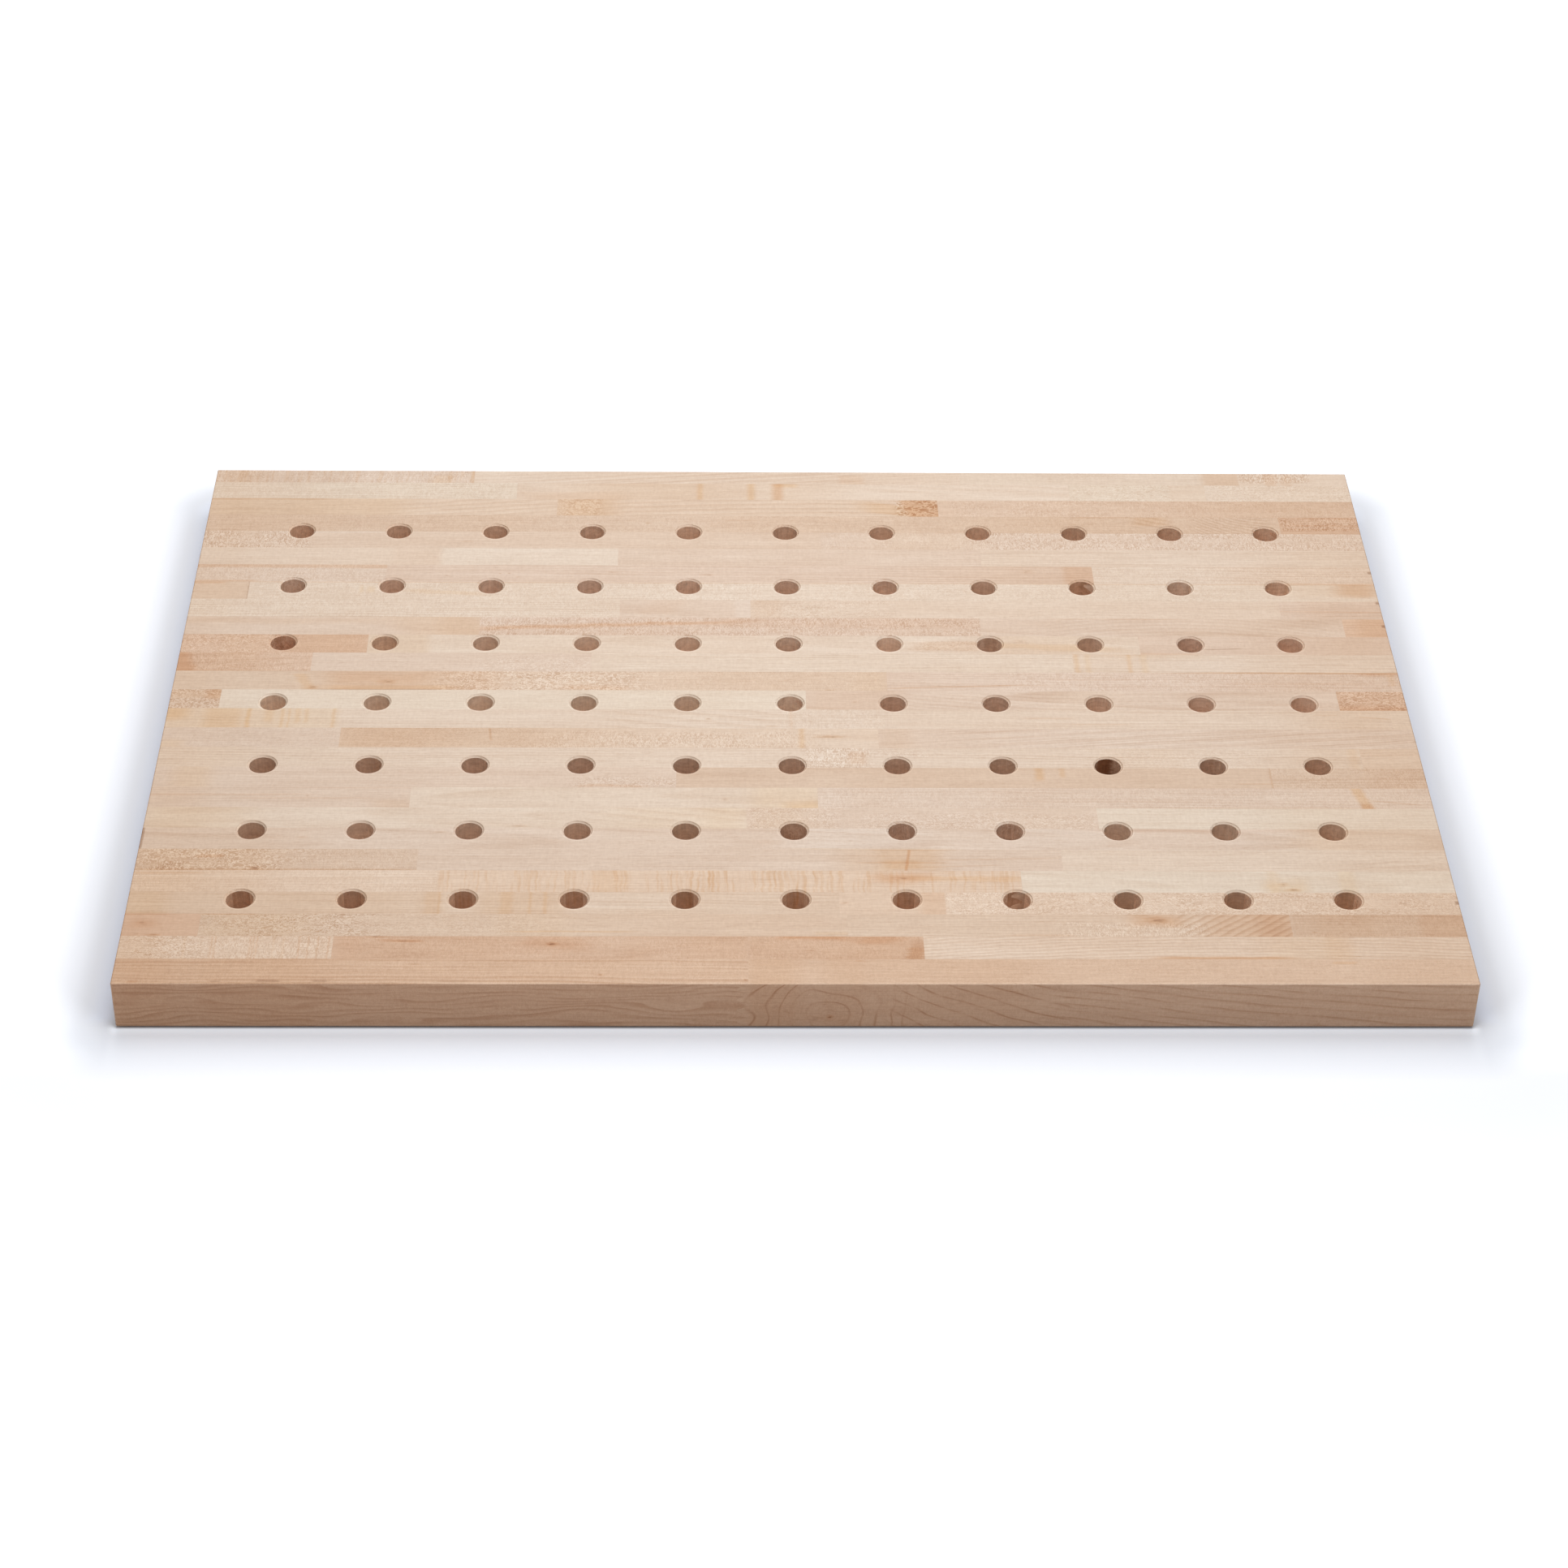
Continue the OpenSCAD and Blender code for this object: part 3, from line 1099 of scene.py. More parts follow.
# The strips from the front, each with its staves from the left: right end, tone, way of sawing, strength of
# the ring lines, and the marks that the photograph shows on it
CUT_LIST: dict[str, tuple[Stave, ...]] = {
    "front_strip": (
        stave(424, T.RUSSET, S.EDGE, 1.5,
            Figure(-5, 424, pitch=4.3, swirl=17, wave=105, thin=0.25, depth=0.27),
            cast(-5, 120, C.ASH, 0.3, 40), cast(-5, 424, C.HONEY, 0.35, 4),
            streak(66, 72, 0.08, C.UMBER, 0.35, 0.08), streak(12, 18, 0.08, C.RUST, 0.5, 0.08),
            streak(97, 112, 0.1, C.UMBER, 0.55, 0.1), streak(133, 144, 0.1, C.UMBER, 0.45, 0.09),
            streak(218, 238, 0.1, C.UMBER, 0.22, 0.09), Knot(325, 0.35, 2.4, 1.5, 0.7),
            Knot(422, 0.15, 2.2, 1.4, 0.8), cast(0, 40, C.TAN, 0.5, 14), Knot(200, 0.78, 7, 1.1, 0.35),
            cast(340, 424, C.MILK, 0.35), cast(50, 138, C.TAN, 0.55, 25), ticks(-5, 424, 0.05, 0.05)),
        stave(None, T.AMBER, S.EDGE, 0.35,
            Eye(416, 528, fade=12, x=479, up=9, pitch=11, swirl=16, thin=0.74, depth=0.4),
            Figure(523, 640, fade=14, run=0.68, bow=-0.0018, pitch=12, swirl=6, thin=0.76, depth=0.4),
            Figure(628, 920, fade=18, run=0.22, bow=-0.00033, pitch=6.8, swirl=4.5, wave=80, thin=0.58,
                depth=0.28), Pin(479, 8.6, 3.2, 2.6, 1), Pin(488, 6, 10, 6, 0.22), Pin(470, 7, 14, 5, 0.25),
            Pin(640, 26, 5, 1.2, 0.4), cast(424, 914, C.ROSE, 0.45, 4), cast(424, 914, C.ASH, 0.5, 4),
            cast(620, 930, C.MILK, 0.45, 40), cast(815, 930, C.MILK, 0.35, 15), cast(500, 615, C.TAN, 0.2),
            cast(420, 458, C.TAN, 0.6, 12), cast(474, 502, C.TAN, 0.35, 8),
            Fleck(424, 920, length=2, height=1.4, light=0.03, dark=0.06), Knot(500, 0.93, 5, 1.2, 0.5),
            streak(818, 834, 0.86, C.AMBER, 0.5, 0.1)),
    ),
    "strip_02": (
        stave(144, T.WHEAT, S.QUARTER, 0.4,
            cast(0, 144, C.TAN, 0.1, 4), cast(-5, 28, C.TAN, 0.4, 10), Fleck(0, 60, light=0.13, dark=0.2),
            ticks(60, 144, 0.14, 0.1, fade=6),
            *bars(C.RUST, 0.55, (62, 63), (64.4, 65.2), (88, 88.9), (90, 90.9), (92.4, 93.3), (121, 121.9),
                (127, 127.8), (133.5, 134.4), (140.6, 141.7)),
            *bars(C.AMBER, 0.3, (44, 45), (104, 104.9), (110.5, 111.4))),
        stave(424, T.RUSSET, S.FLAT, 0.7,
            Knot(173, 0.98, 10, 1.5, 0.7), Knot(193, 0.78, 11, 1.6, 0.6),
            cast(270, 316, C.RUST, 0.5, 12, low=0.35, high=0.95, edge=0.25), Knot(292, 0.65, 6, 2.8, 1),
            streak(176, 204, 0.8, C.RUST, 0.6, 0.12), cast(144, 162, C.RUST, 0.2, 8),
            cast(144, 424, C.TAN, 0.3, 4), cast(160, 262, C.TAN, 0.35), cast(304, 342, C.MILK, 0.3, 10),
            cast(380, 430, C.TAN, 0.3, 12), ticks(150, 424, 0.07, 0.05)),
        stave(543, T.RUSSET, S.FLAT, 0.6,
            cast(424, 543, C.TAN, 0.6, 4), cast(490, 545, C.TAN, 0.3), ticks(424, 543, 0.08, 0.05),
            cast(446, 492, C.RUST, 1, 10, low=0.84, high=1.2, edge=0.1),
            cast(498, 528, C.RUST, 0.7, 9, low=0.7, high=1.2, edge=0.14, ragged=5),
            Knot(466, 0.37, 4, 0.9, 0.5),
            cast(534, 545, C.BROWN, 0.9, 3, low=-0.3, high=0.6, edge=0.25, ragged=3, slant=0.3)),
        stave(None, T.WHEAT, S.QUARTER, 0.4,
            Sweep(535, 920, run=0.02, bow=-0.00025, pitch=3.3, depth=0.15), cast(543, 914, C.MILK, 0.45, 4),
            cast(540, 620, C.MILK, 0.4, 30), cast(775, 822, C.HONEY, 0.35, 14),
            cast(816, 834, C.AMBER, 0.3, 6), streak(700, 790, 0.05, C.RUST, 1, 0.14),
            Knot(688, 0.28, 3, 0.9, 0.35)),
    ),
    "strip_03": (
        stave(52, T.RUSSET, S.FLAT, 0.5,
            Knot(13, 0.6, 4.5, 2.4, 0.35), cast(6, 22, C.RUST, 0.4, 6, low=0.35, high=0.85, edge=0.2),
            Knot(22, 0.05, 6, 1.1, 1), cast(-5, 60, C.RUST, 0.25, 4), streak(-10, 30, 0.97, C.BROWN, 0.5)),
        stave(492, T.TAN, S.QUARTER, 0.4,
            Fleck(53, 165, fade=25, light=0.08, dark=0.26), Fleck(150, 300, fade=40, light=0.05, dark=0.1),
            cast(50, 125, C.HONEY, 0.45, 25), cast(255, 300, C.HONEY, 0.25, 15),
            streak(50, 90, 0.98, C.RUST, 0.5), streak(262, 346, 0.21, C.AMBER, 0.5),
            cast(340, 492, C.ROSE, 0.4, 50), streak(470, 492, 0.15, C.HONEY, 0.5, 0.12)),
        stave(795, T.TAN, S.QUARTER, 0.8,
            cast(492, 640, C.MILK, 0.1, 30), ticks(636, 738, 0.08, 0.18, fade=12, high=0.62),
            cast(736, 796, C.RUST, 0.5, 16), Sweep(718, 800, fade=6, run=0.72, pitch=6.5, depth=0.22),
            cast(686, 722, C.RUST, 0.7, 9, low=0.45, high=1.05, edge=0.2), cast(772, 798, C.RUST, 0.5, 10),
            Knot(704, 0.74, 11, 5, 0.75), streak(600, 645, 0.06, C.RUST, 0.35)),
        stave(None, T.FAWN, S.RIFT, 0.7,
            cast(795, 920, C.ROSE, 0.35, 4), Knot(810, 0.2, 2.6, 1, 0.6), Knot(829, 0.2, 2, 0.8, 0.4),
            cast(884, 920, C.RUST, 0.32, 4), cast(795, 920, C.TAN, 0.48, 4), cast(812, 852, C.TAN, 0.4, 10),
            ticks(795, 920, 0.07, 0.05)),
    ),
    "strip_04": (
        stave(487, T.TAN, S.RIFT, 0.8,
            cast(-5, 190, C.TAN, 0.45, 40), cast(-5, 26, C.HONEY, 0.5, 10), cast(200, 215, C.TAN, 0.4, 6),
            cast(240, 296, C.AMBER, 0.2, 10), cast(398, 450, C.MILK, 0.35), cast(298, 335, C.MILK, 0.3, 10),
            cast(218, 236, C.MILK, 0.35, 8), cast(203, 213.4, C.AMBER, 0.25, 2.5),
            *bars(C.AMBER, 0.5, (212, 213.6), (284, 286.6), (274, 276)),
            cast(254.5, 263, C.AMBER, 0.42, 2.5, ragged=1.6),
            cast(304, 376, C.MILK, 0.7, 8, low=0.2, high=0.95, edge=0.12),
            streak(-5, 30, 0.04, C.BROWN, 0.4)),
        stave(560, T.WHEAT, S.RIFT, 0.5, Knot(491, 0.52, 4, 1.5, 0.45), cast(542, 562, C.RUST, 0.4, 5)),
        stave(None, T.WHEAT, S.QUARTER, 0.3,
            cast(560, 606, C.MILK, 0.4, 5), Fleck(560, 606, length=2.6, height=2.7, light=0.15, dark=0.12),
            Fleck(600, 920, length=3.2, height=1.9, light=0.12, dark=0.16), cast(602, 622, C.MILK, 0.35, 8),
            cast(640, 740, C.MILK, 0.28), cast(600, 920, C.ASH, 0.4, 4), nick(0.55)),
    ),
    "strip_05": (
        stave(210, T.WHEAT, S.QUARTER, 1.2,
            streak(-5, 50, 0.86, C.BROWN, 0.45), cast(90, 212, C.MILK, 0.3, 30),
            cast(165, 214, C.MILK, 0.3, 14), cast(-5, 90, C.TAN, 0.4, 25), cast(-5, 45, C.HONEY, 0.2),
            ticks(-5, 210, 0.05, 0.05), Burn(-5, 212, strength=0.6)),
        stave(614, T.WHEAT, S.QUARTER, 0.6,
            Curl(210, 614, pitch=2.4, depth=0.12), Curl(374, 416, fade=6, pitch=2.6, depth=0.14),
            Burn(208, 616, strength=0.6), cast(318, 341, C.AMBER, 0.32, 5, ragged=4),
            Curl(430, 486, fade=10, pitch=3.2, depth=0.12), Knot(533, 0.66, 10, 2.6, 0.5),
            cast(512, 552, C.RUST, 0.9, 12, low=0.45, high=0.9, edge=0.18, ragged=4),
            cast(538, 616, C.AMBER, 0.5, 10, low=0.5, high=0.74)),
        stave(None, T.SAP, S.FLAT, 0.6,
            Burn(612, 920, strength=0.6), cast(785, 793, C.AMBER, 0.28, 3), cast(835, 846, C.HONEY, 0.5, 3),
            cast(782, 812, C.AMBER, 0.45, 6, low=-0.1, high=0.55, edge=0.2), Knot(796, 0.38, 5, 2.6, 0.6),
            Knot(801, 0.12, 7, 2.4, 0.8)),
    ),
    "strip_06": (
        stave(195, T.FAWN, S.QUARTER, 0.5,
            Fleck(-5, 110, fade=36, length=4.2, height=3.6, light=0.24, dark=0.2),
            ticks(85, 200, 0.07, 0.08, fade=20), ticks(-5, 34, 0.2, 0.05, low=-0.2, high=0.42),
            streak(-5, 200, 0.02, C.BROWN, 0.6, 0.08), cast(-5, 95, C.AMBER, 0.36, 25),
            Knot(84, 0.1, 6, 3, 0.6), streak(42, 60, 0.66, C.RUST, 0.6, 0.12),
            cast(165, 230, C.MILK, 0.4, 30)),
        stave(644, T.ROSE, S.QUARTER, 0.8,
            cast(488, 562, C.AMBER, 0.26, 14), cast(514, 558, C.AMBER, 0.32, 8),
            cast(520, 545, C.AMBER, 0.45, 5, low=0.1, high=0.5),
            cast(535, 537, C.RUST, 1, 0.8, slant=0.15, ragged=0.4, low=0, high=1, edge=0.1),
            streak(500, 562, 0.38, C.BROWN, 0.55, 0.06), streak(556, 644, 0.5, C.BROWN, 0.4, 0.06, 0.03),
            streak(545, 600, 0.16, C.BROWN, 0.4, 0.05, 0.05), streak(510, 570, 0.99, C.BROWN, 0.5)),
        stave(None, T.CREAM, S.RIFT, 0.6,
            cast(640, 920, C.ROSE, 0.25, 4),
            Sweep(840, 925, fade=25, high=0.5, run=0.1, pitch=5, depth=0.08),
            streak(740, 790, 0, C.RUST, 0.4)),
    ),
    "strip_07": (
        stave(None, T.ROSE, S.FLAT, 0.9,
            cast(-3, 2, C.UMBER, 0.7, 0.5, ragged=0.3), cast(-5, 110, C.TAN, 0.45, 50),
            cast(95, 300, C.MILK, 0.25, 50), cast(455, 545, C.MILK, 0.7), cast(610, 685, C.MILK, 0.45),
            cast(758, 815, C.MILK, 0.5, 15), cast(815, 845, C.HONEY, 0.2), Knot(208, 0.8, 6, 1.2, 0.35),
            Knot(112, 0.55, 5, 1.4, 0.35), cast(440, 690, C.MILK, 0.35, 60),
            cast(810, 930, C.HONEY, 0.35, 30), Sweep(455, 640, fade=20, run=-0.05, pitch=4.6, depth=0.05),
            streak(455, 560, 0.02, C.HONEY, 0.6), streak(660, 830, 0.93, C.ROSE, 0.7, 0.12)),
    ),
    "strip_08": (
        stave(424, T.CREAM, S.FLAT, 0.6,
            Burn(-5, 424, strength=0.25), cast(-5, 75, C.HONEY, 0.3), cast(395, 424, C.HONEY, 0.3, 12),
            cast(-5, 60, C.TAN, 0.5, 30), Knot(264, 0.1, 10, 1.7, 0.35),
            Sweep(310, 424, fade=20, low=0.35, high=1.2, run=-0.16, pitch=8, depth=0.09),
            cast(330, 424, C.HONEY, 0.3, 30)),
        stave(673, T.ROSE, S.QUARTER, 0.3,
            Fleck(424, 492, fade=10, length=2.7, height=2.9, light=0.12, dark=0.12),
            Fleck(505, 676, fade=20, low=-0.2, high=0.78, edge=0.15, length=3.2, height=1.9, light=0.14,
                dark=0.12), cast(600, 676, C.HONEY, 0.15, 40), cast(424, 470, C.HONEY, 0.35, 15),
            Burn(424, 676, strength=0.25)),
        stave(None, T.SAP, S.RIFT, 0.4,
            cast(860, 920, C.ROSE, 0.3, 25), cast(800, 850, C.TAN, 0.2), Burn(672, 920, strength=0.25)),
    ),
    "strip_09": (
        stave(185, T.ROSE, S.QUARTER, 0.9,
            streak(-30, 110, 0.62, C.RUST, 0.3, 0.1), streak(60, 160, 0.46, C.RUST, 0.25, 0.08),
            cast(160, 190, C.TAN, 0.6, 8, low=-0.2, high=0.35, edge=0.15), cast(-5, 40, C.TAN, 0.45),
            Knot(112, 0.55, 2, 1.1, 0.45), streak(100, 185, 0.97, C.ROSE, 0.6)),
        stave(475, T.CREAM, S.FLAT, 0.6,
            cast(428, 480, C.HONEY, 0.55, 12),
            cast(452, 480, C.AMBER, 0.6, 8, low=-0.2, high=0.28, edge=0.16), Knot(409, 0.42, 4, 3, 0.25),
            slope=0.03),
        stave(None, T.ROSE, S.RIFT, 0.8,
            cast(474, 500, C.MILK, 0.5, 10), cast(530, 600, C.MILK, 0.4), ticks(475, 920, 0.06, 0.05),
            cast(860.5, 868.5, C.AMBER, 0.78, 2.4, slant=-0.25, ragged=0.6),
            cast(863, 872, C.RUST, 0.6, 2, low=-0.2, high=0.22, edge=0.1),
            streak(870, 904, 0.4, C.BROWN, 0.5, 0.05, -0.14), streak(640, 870, 0.95, C.ROSE, 0.5),
            streak(720, 870, 0.02, C.BROWN, 0.3)),
    ),
    "strip_10": (
        stave(374, T.ROSE, S.RIFT, 0.5,
            cast(14, 40, C.HONEY, 0.6, 9),
            Fleck(300, 378, fade=10, low=-0.2, high=0.48, edge=0.12, length=2.7, height=2.7, light=0.1,
                dark=0.16), streak(306, 350, 0.08, C.RUST, 0.45, 0.12)),
        stave(803, T.FAWN, S.FLAT, 0.22,
            *bars(C.AMBER, 0.75, (632.5, 638.5), low=0.38), *bars(C.AMBER, 0.55, (650, 654), low=0.48),
            cast(400, 520, C.MILK, 0.22, 30), streak(778, 802, 0.22, C.BROWN, 0.6, 0.04),
            *bars(C.BROWN, 0.5, (801.6, 803.4))),
        stave(None, T.FAWN, S.RIFT, 0.9,
            cast(803, 880, C.MILK, 0.35, 15), cast(870, 920, C.RUST, 0.18, 12), ticks(803, 920, 0.09, 0.06)),
    ),
    "strip_11": (
        stave(871, T.PALE, S.RIFT, 0.9,
            cast(-5, 70, C.TAN, 0.4, 30), ticks(466, 514, 0.16, 0.16, fade=6),
            cast(498, 511, C.RUST, 0.35, 3, low=0.25, high=0.85, edge=0.1),
            Fleck(512, 560, fade=10, low=0.55, light=0.1, dark=0.1),
            Fleck(670, 800, fade=20, light=0.07, dark=0.04), cast(862, 869, C.AMBER, 0.3, 3),
            cast(180, 680, C.MILK, 0.2, 60), cast(680, 740, C.TAN, 0.25, 15),
            cast(820, 880, C.TAN, 0.25, 35), Burn(-5, 920, strength=0.4),
            Burn(678, 690, fade=3, strength=1.25), Burn(684, 700, fade=4, strength=0.4)),
        stave(None, T.TAN, S.RIFT, 0.6),
    ),
    "strip_12": (
        stave(129, T.ROSE, S.RIFT, 0.3,
            cast(-5, 130, C.ASH, 0.35, 4), cast(-5, 16, C.HONEY, 0.6, 6, low=-0.2, high=0.35, edge=0.15),
            Fleck(20, 129, light=0.04, dark=0.05)),
        stave(521, T.TAN, S.QUARTER, 0.3,
            cast(120, 290, C.TAN, 0.42, 40), cast(120, 215, C.RUST, 0.24, 30),
            Fleck(125, 270, fade=12, length=2.6, height=1.7, light=0.03, dark=0.1),
            ticks(262, 470, 0.14, 0.12, fade=30, low=-0.2, high=0.8, edge=0.2),
            cast(237.6, 239.4, C.BROWN, 0.6, 0.8, slant=-0.1, low=0.35, high=0.98, ragged=0.4),
            cast(330, 524, C.MILK, 0.85, 50), cast(180, 240, C.MILK, 0.35), *bars(C.AMBER, 0.6, (463, 467)),
            Knot(486, 0.58, 15, 2.4, 0.7), cast(476, 524, C.MILK, 0.5, 10, low=-0.2, high=0.42, edge=0.12)),
        stave(None, T.ROSE, S.RIFT, 1,
            cast(521, 545, C.TAN, 0.4, 8), cast(600, 770, C.MILK, 0.45, 60),
            Sweep(580, 920, fade=40, run=0.095, pitch=8, depth=0.09), slope=0.1),
    ),
    "strip_13": (
        stave(900, T.PALE, S.RIFT, 0.7,
            cast(-5, 126, C.HONEY, 0.55, 5), cast(-5, 15, C.AMBER, 0.7, 9, low=0.45, edge=0.2),
            cast(28, 55, C.AMBER, 0.5, 6), cast(94, 126, C.MILK, 0.5, 8), *bars(C.AMBER, 0.75, (58.4, 61.6)),
            *bars(C.AMBER, 0.5, (83.5, 86), (89, 90.5), (121, 123.6)),
            *bars(C.AMBER, 0.45, (71.5, 78), (94, 98), (101, 104), low=0.25),
            cast(126, 330, C.MILK, 0.25, 10), cast(350, 520, C.MILK, 0.45, 30),
            Sweep(320, 452, fade=18, run=-0.17, pitch=9, depth=0.1), Knot(397, 0.5, 3.4, 1.7, 0.45),
            Knot(444, 0.12, 6, 1.4, 0.45), ticks(452, 530, 0.06, 0.05, fade=8),
            *bars(C.RUST, 0.3, (456.5, 459)), streak(630, 664, 0.55, C.RUST, 0.35, 0.07),
            streak(664, 706, 0.24, C.RUST, 0.35, 0.06), cast(845, 902, C.TAN, 0.55, 35),
            streak(876, 900, 0.66, C.BROWN, 0.5, 0.05, -0.12), streak(845, 862, 0.76, C.BROWN, 0.35, 0.05)),
        stave(None, T.PALE, S.RIFT, 0.4, cast(895, 920, C.TAN, 0.4, 4)),
    ),
    "strip_14": (
        stave(37, T.FAWN, S.QUARTER, 0.4,
            Fleck(-5, 40, length=4.2, height=3.7, light=0.16, dark=0.2),
            cast(26, 40, C.RUST, 0.6, 5, low=0.45, edge=0.15),
            cast(-5, 40, C.AMBER, 0.25, 4, low=0.55, high=0.98, edge=0.1)),
        stave(469, T.SAP, S.QUARTER, 0.25),
        stave(864, T.ROSE, S.FLAT, 0.9,
            cast(469, 538, C.RUST, 0.22, 12), cast(650, 700, C.HONEY, 0.2), Knot(505, 0.4, 3.5, 2.2, 0.3),
            cast(538, 700, C.MILK, 0.25, 30),
            Sweep(540, 660, fade=16, high=0.85, run=-0.12, bow=0.0005, pitch=4.4, depth=0.1),
            Sweep(660, 840, fade=20, run=0.015, pitch=4.8, depth=0.06)),
        stave(None, T.CHESTNUT, S.QUARTER, 0.4,
            Fleck(864, 920, length=4.6, height=3, light=0.18, dark=0.22),
            cast(858, 920, C.RUST, 0.5, 4, low=-0.2, high=0.24, edge=0.16), cast(864, 920, C.MILK, 0.25, 4)),
    ),
    "strip_15": (
        stave(530, T.TAN, S.RIFT, 0.5,
            cast(-5, 92, C.MILK, 0.2, 14), cast(-5, 92, C.ASH, 0.7, 14),
            cast(92, 101, C.AMBER, 0.5, 3, slant=-0.45, low=0, high=0.85), Knot(104, 0.14, 6, 3, 0.5),
            cast(112, 240, C.RUST, 0.36, 14), Knot(158, 0.42, 9, 4.5, 0.55),
            streak(108, 198, 0.01, C.UMBER, 0.5, 0.06), streak(112, 208, 0.12, C.AMBER, 0.5, 0.2),
            cast(118, 186, C.RUST, 0.3, 14, low=0.3, high=0.9, edge=0.2),
            Fleck(196, 345, fade=18, length=4, height=3, light=0.2, dark=0.18),
            streak(290, 336, 0.14, C.RUST, 0.4, 0.24), cast(195, 400, C.MILK, 0.3, 30),
            cast(505, 532, C.HONEY, 0.2, 10), ticks(340, 530, 0.06, 0.05), Knot(487, 0.03, 6, 0.9, 0.5)),
        stave(None, T.BLUSH, S.RIFT, 0.8,
            cast(530, 780, C.MILK, 0.8, 60), ticks(620, 920, 0.09, 0.06),
            streak(780, 890, 0.42, C.BROWN, 0.35, 0.05), streak(532, 625, 0.14, C.BROWN, 0.65, 0.06, 0.045),
            streak(610, 650, 0.3, C.BROWN, 0.35, 0.05), streak(740, 960, 0.985, C.BROWN, 0.85, 0.06),
            cast(885, 920, C.RUST, 0.7, 7, low=0.86, edge=0.08),
            cast(906, 911, C.AMBER, 0.4, 2, low=0.3, high=0.9), streak(650, 720, 0.62, C.ROSE, 0.6)),
    ),
    "strip_16": (
        stave(100, T.RUSSET, S.FLAT, 0.9,
            cast(-5, 100, C.ASH, 0.9, 4), cast(-5, 11, C.RUST, 0.8, 5, slant=-0.3),
            cast(20, 60, C.HONEY, 0.2), cast(80, 130, C.MILK, 0.4, 20), cast(20, 40, C.MILK, 0.3, 10),
            cast(60, 110, C.MILK, 0.65, 26, slant=0.5), ticks(8, 100, 0.12, 0.08),
            streak(-10, 85, 0.02, C.BROWN, 0.4), slope=0.06),
        stave(309, T.ROSE, S.RIFT, 0.3,
            cast(100, 310, C.MILK, 0.18, 4),
            Fleck(225, 312, fade=30, low=-0.2, high=0.85, edge=0.15, light=0.12, dark=0.09)),
        stave(671, T.CREAM, S.QUARTER, 0.9, cast(300, 680, C.MILK, 0.15, 4)),
        stave(None, T.PALE, S.RIFT, 0.7,
            *bars(C.AMBER, 0.55, (672, 675.5), (712, 715.2)),
            cast(690, 770, C.AMBER, 0.2, 24, low=0.8, edge=0.14), cast(735, 795, C.MILK, 0.45),
            *bars(C.HONEY, 0.6, (680, 684), (722, 727)), streak(770, 960, 0.015, C.BROWN, 0.85, 0.06),
            Sweep(780, 920, fade=25, low=0.4, run=0.05, pitch=6, depth=0.06)),
    ),
    "strip_17": (
        stave(140, T.RUSSET, S.QUARTER, 0.4,
            Fleck(-5, 84, fade=16, length=3.5, height=2.5, light=0.12, dark=0.16),
            cast(-5, 70, C.MILK, 0.3, 30, low=-0.2, high=0.5), cast(80, 145, C.TAN, 0.55),
            cast(-5, 145, C.ASH, 0.45, 4), cast(-5, 60, C.MILK, 0.5, 20), cast(32, 64, C.HONEY, 0.25, 8),
            ticks(-5, 145, 0.06, 0.05), Burn(69, 74.5, fade=1.2, strength=0.45)),
        stave(723, T.CREAM, S.FLAT, 0.5,
            cast(138, 186, C.TAN, 0.65, 5), cast(455, 600, C.MILK, 0.45, 30),
            cast(614, 684, C.TAN, 0.35, 10), cast(552, 604, C.RUST, 0.4, 14, low=0.22, high=0.68, edge=0.1),
            Fleck(552, 604, fade=10, low=0.2, high=0.7, light=0.03, dark=0.16),
            cast(604, 708, C.AMBER, 0.42, 16, low=0.4, high=0.72, edge=0.1, rise=-0.075),
            Burn(606, 616, fade=2, strength=0.5), Burn(680, 692, fade=3, strength=0.35),
            cast(330, 723, C.ROSE, 0.3, 120), Knot(633, 0.72, 7, 3.5, 0.25)),
        stave(None, T.BLUSH, S.RIFT, 0.7,
            streak(772, 800, 0.28, C.UMBER, 0.5, 0.05, 0.05), streak(720, 765, 0.02, C.RUST, 0.45, 0.1),
            cast(723, 800, C.MILK, 0.2, 30), cast(860, 920, C.TAN, 0.3, 30)),
    ),
    "strip_18": (
        stave(223, T.ROSE, S.FLAT, 0.4,
            cast(-5, 150, C.TAN, 0.45, 12, low=0.62, high=0.95, edge=0.1),
            cast(160, 230, C.AMBER, 0.3, 16, slant=-0.8), cast(192, 230, C.TAN, 0.45, 10)),
        stave(604, T.BLUSH, S.QUARTER, 0.3,
            cast(215, 400, C.MILK, 0.55, 40, low=0.5, edge=0.12),
            cast(215, 420, C.RUST, 0.85, 40, low=0.24, high=0.44, edge=0.1, rise=0.05),
            cast(380, 612, C.RUST, 0.2, 50, low=0.42, high=0.95, edge=0.18), cast(375, 520, C.MILK, 0.38),
            ticks(215, 612, 0.17, 0.1)),
        stave(882, T.ROSE, S.FLAT, 0.7,
            Sweep(660, 870, fade=30, run=-0.03, bow=-0.0011, pitch=4.6, depth=0.09),
            streak(660, 760, 0.98, C.RUST, 0.4), cast(755, 845, C.TAN, 0.25, 25),
            cast(672, 704, C.MILK, 0.4, 12)),
        stave(None, T.RUSSET, S.RIFT, 0.9,
            cast(878, 897, C.MILK, 0.3, 9), cast(890, 920, C.TAN, 0.7, 10), nick(0.61)),
    ),
    "strip_19": (
        stave(329, T.CREAM, S.RIFT, 0.9, cast(150, 329, C.MILK, 0.25, 30), ticks(-5, 329, 0.07, 0.05)),
        stave(429, T.ROSE, S.FLAT, 0.4,
            cast(346, 374, C.RUST, 0.15, 7, slant=0.7, low=0.2, edge=0.15), cast(329, 429, C.MILK, 0.08, 4),
            cast(417, 432, C.MILK, 0.6, 2.5)),
        stave(836, T.PALE, S.RIFT, 0.4,
            cast(429, 452, C.RUST, 0.22, 6),
            Fleck(429, 535, fade=20, length=2.4, height=2.7, light=0.07, dark=0.12),
            cast(720, 840, C.ROSE, 0.3, 60)),
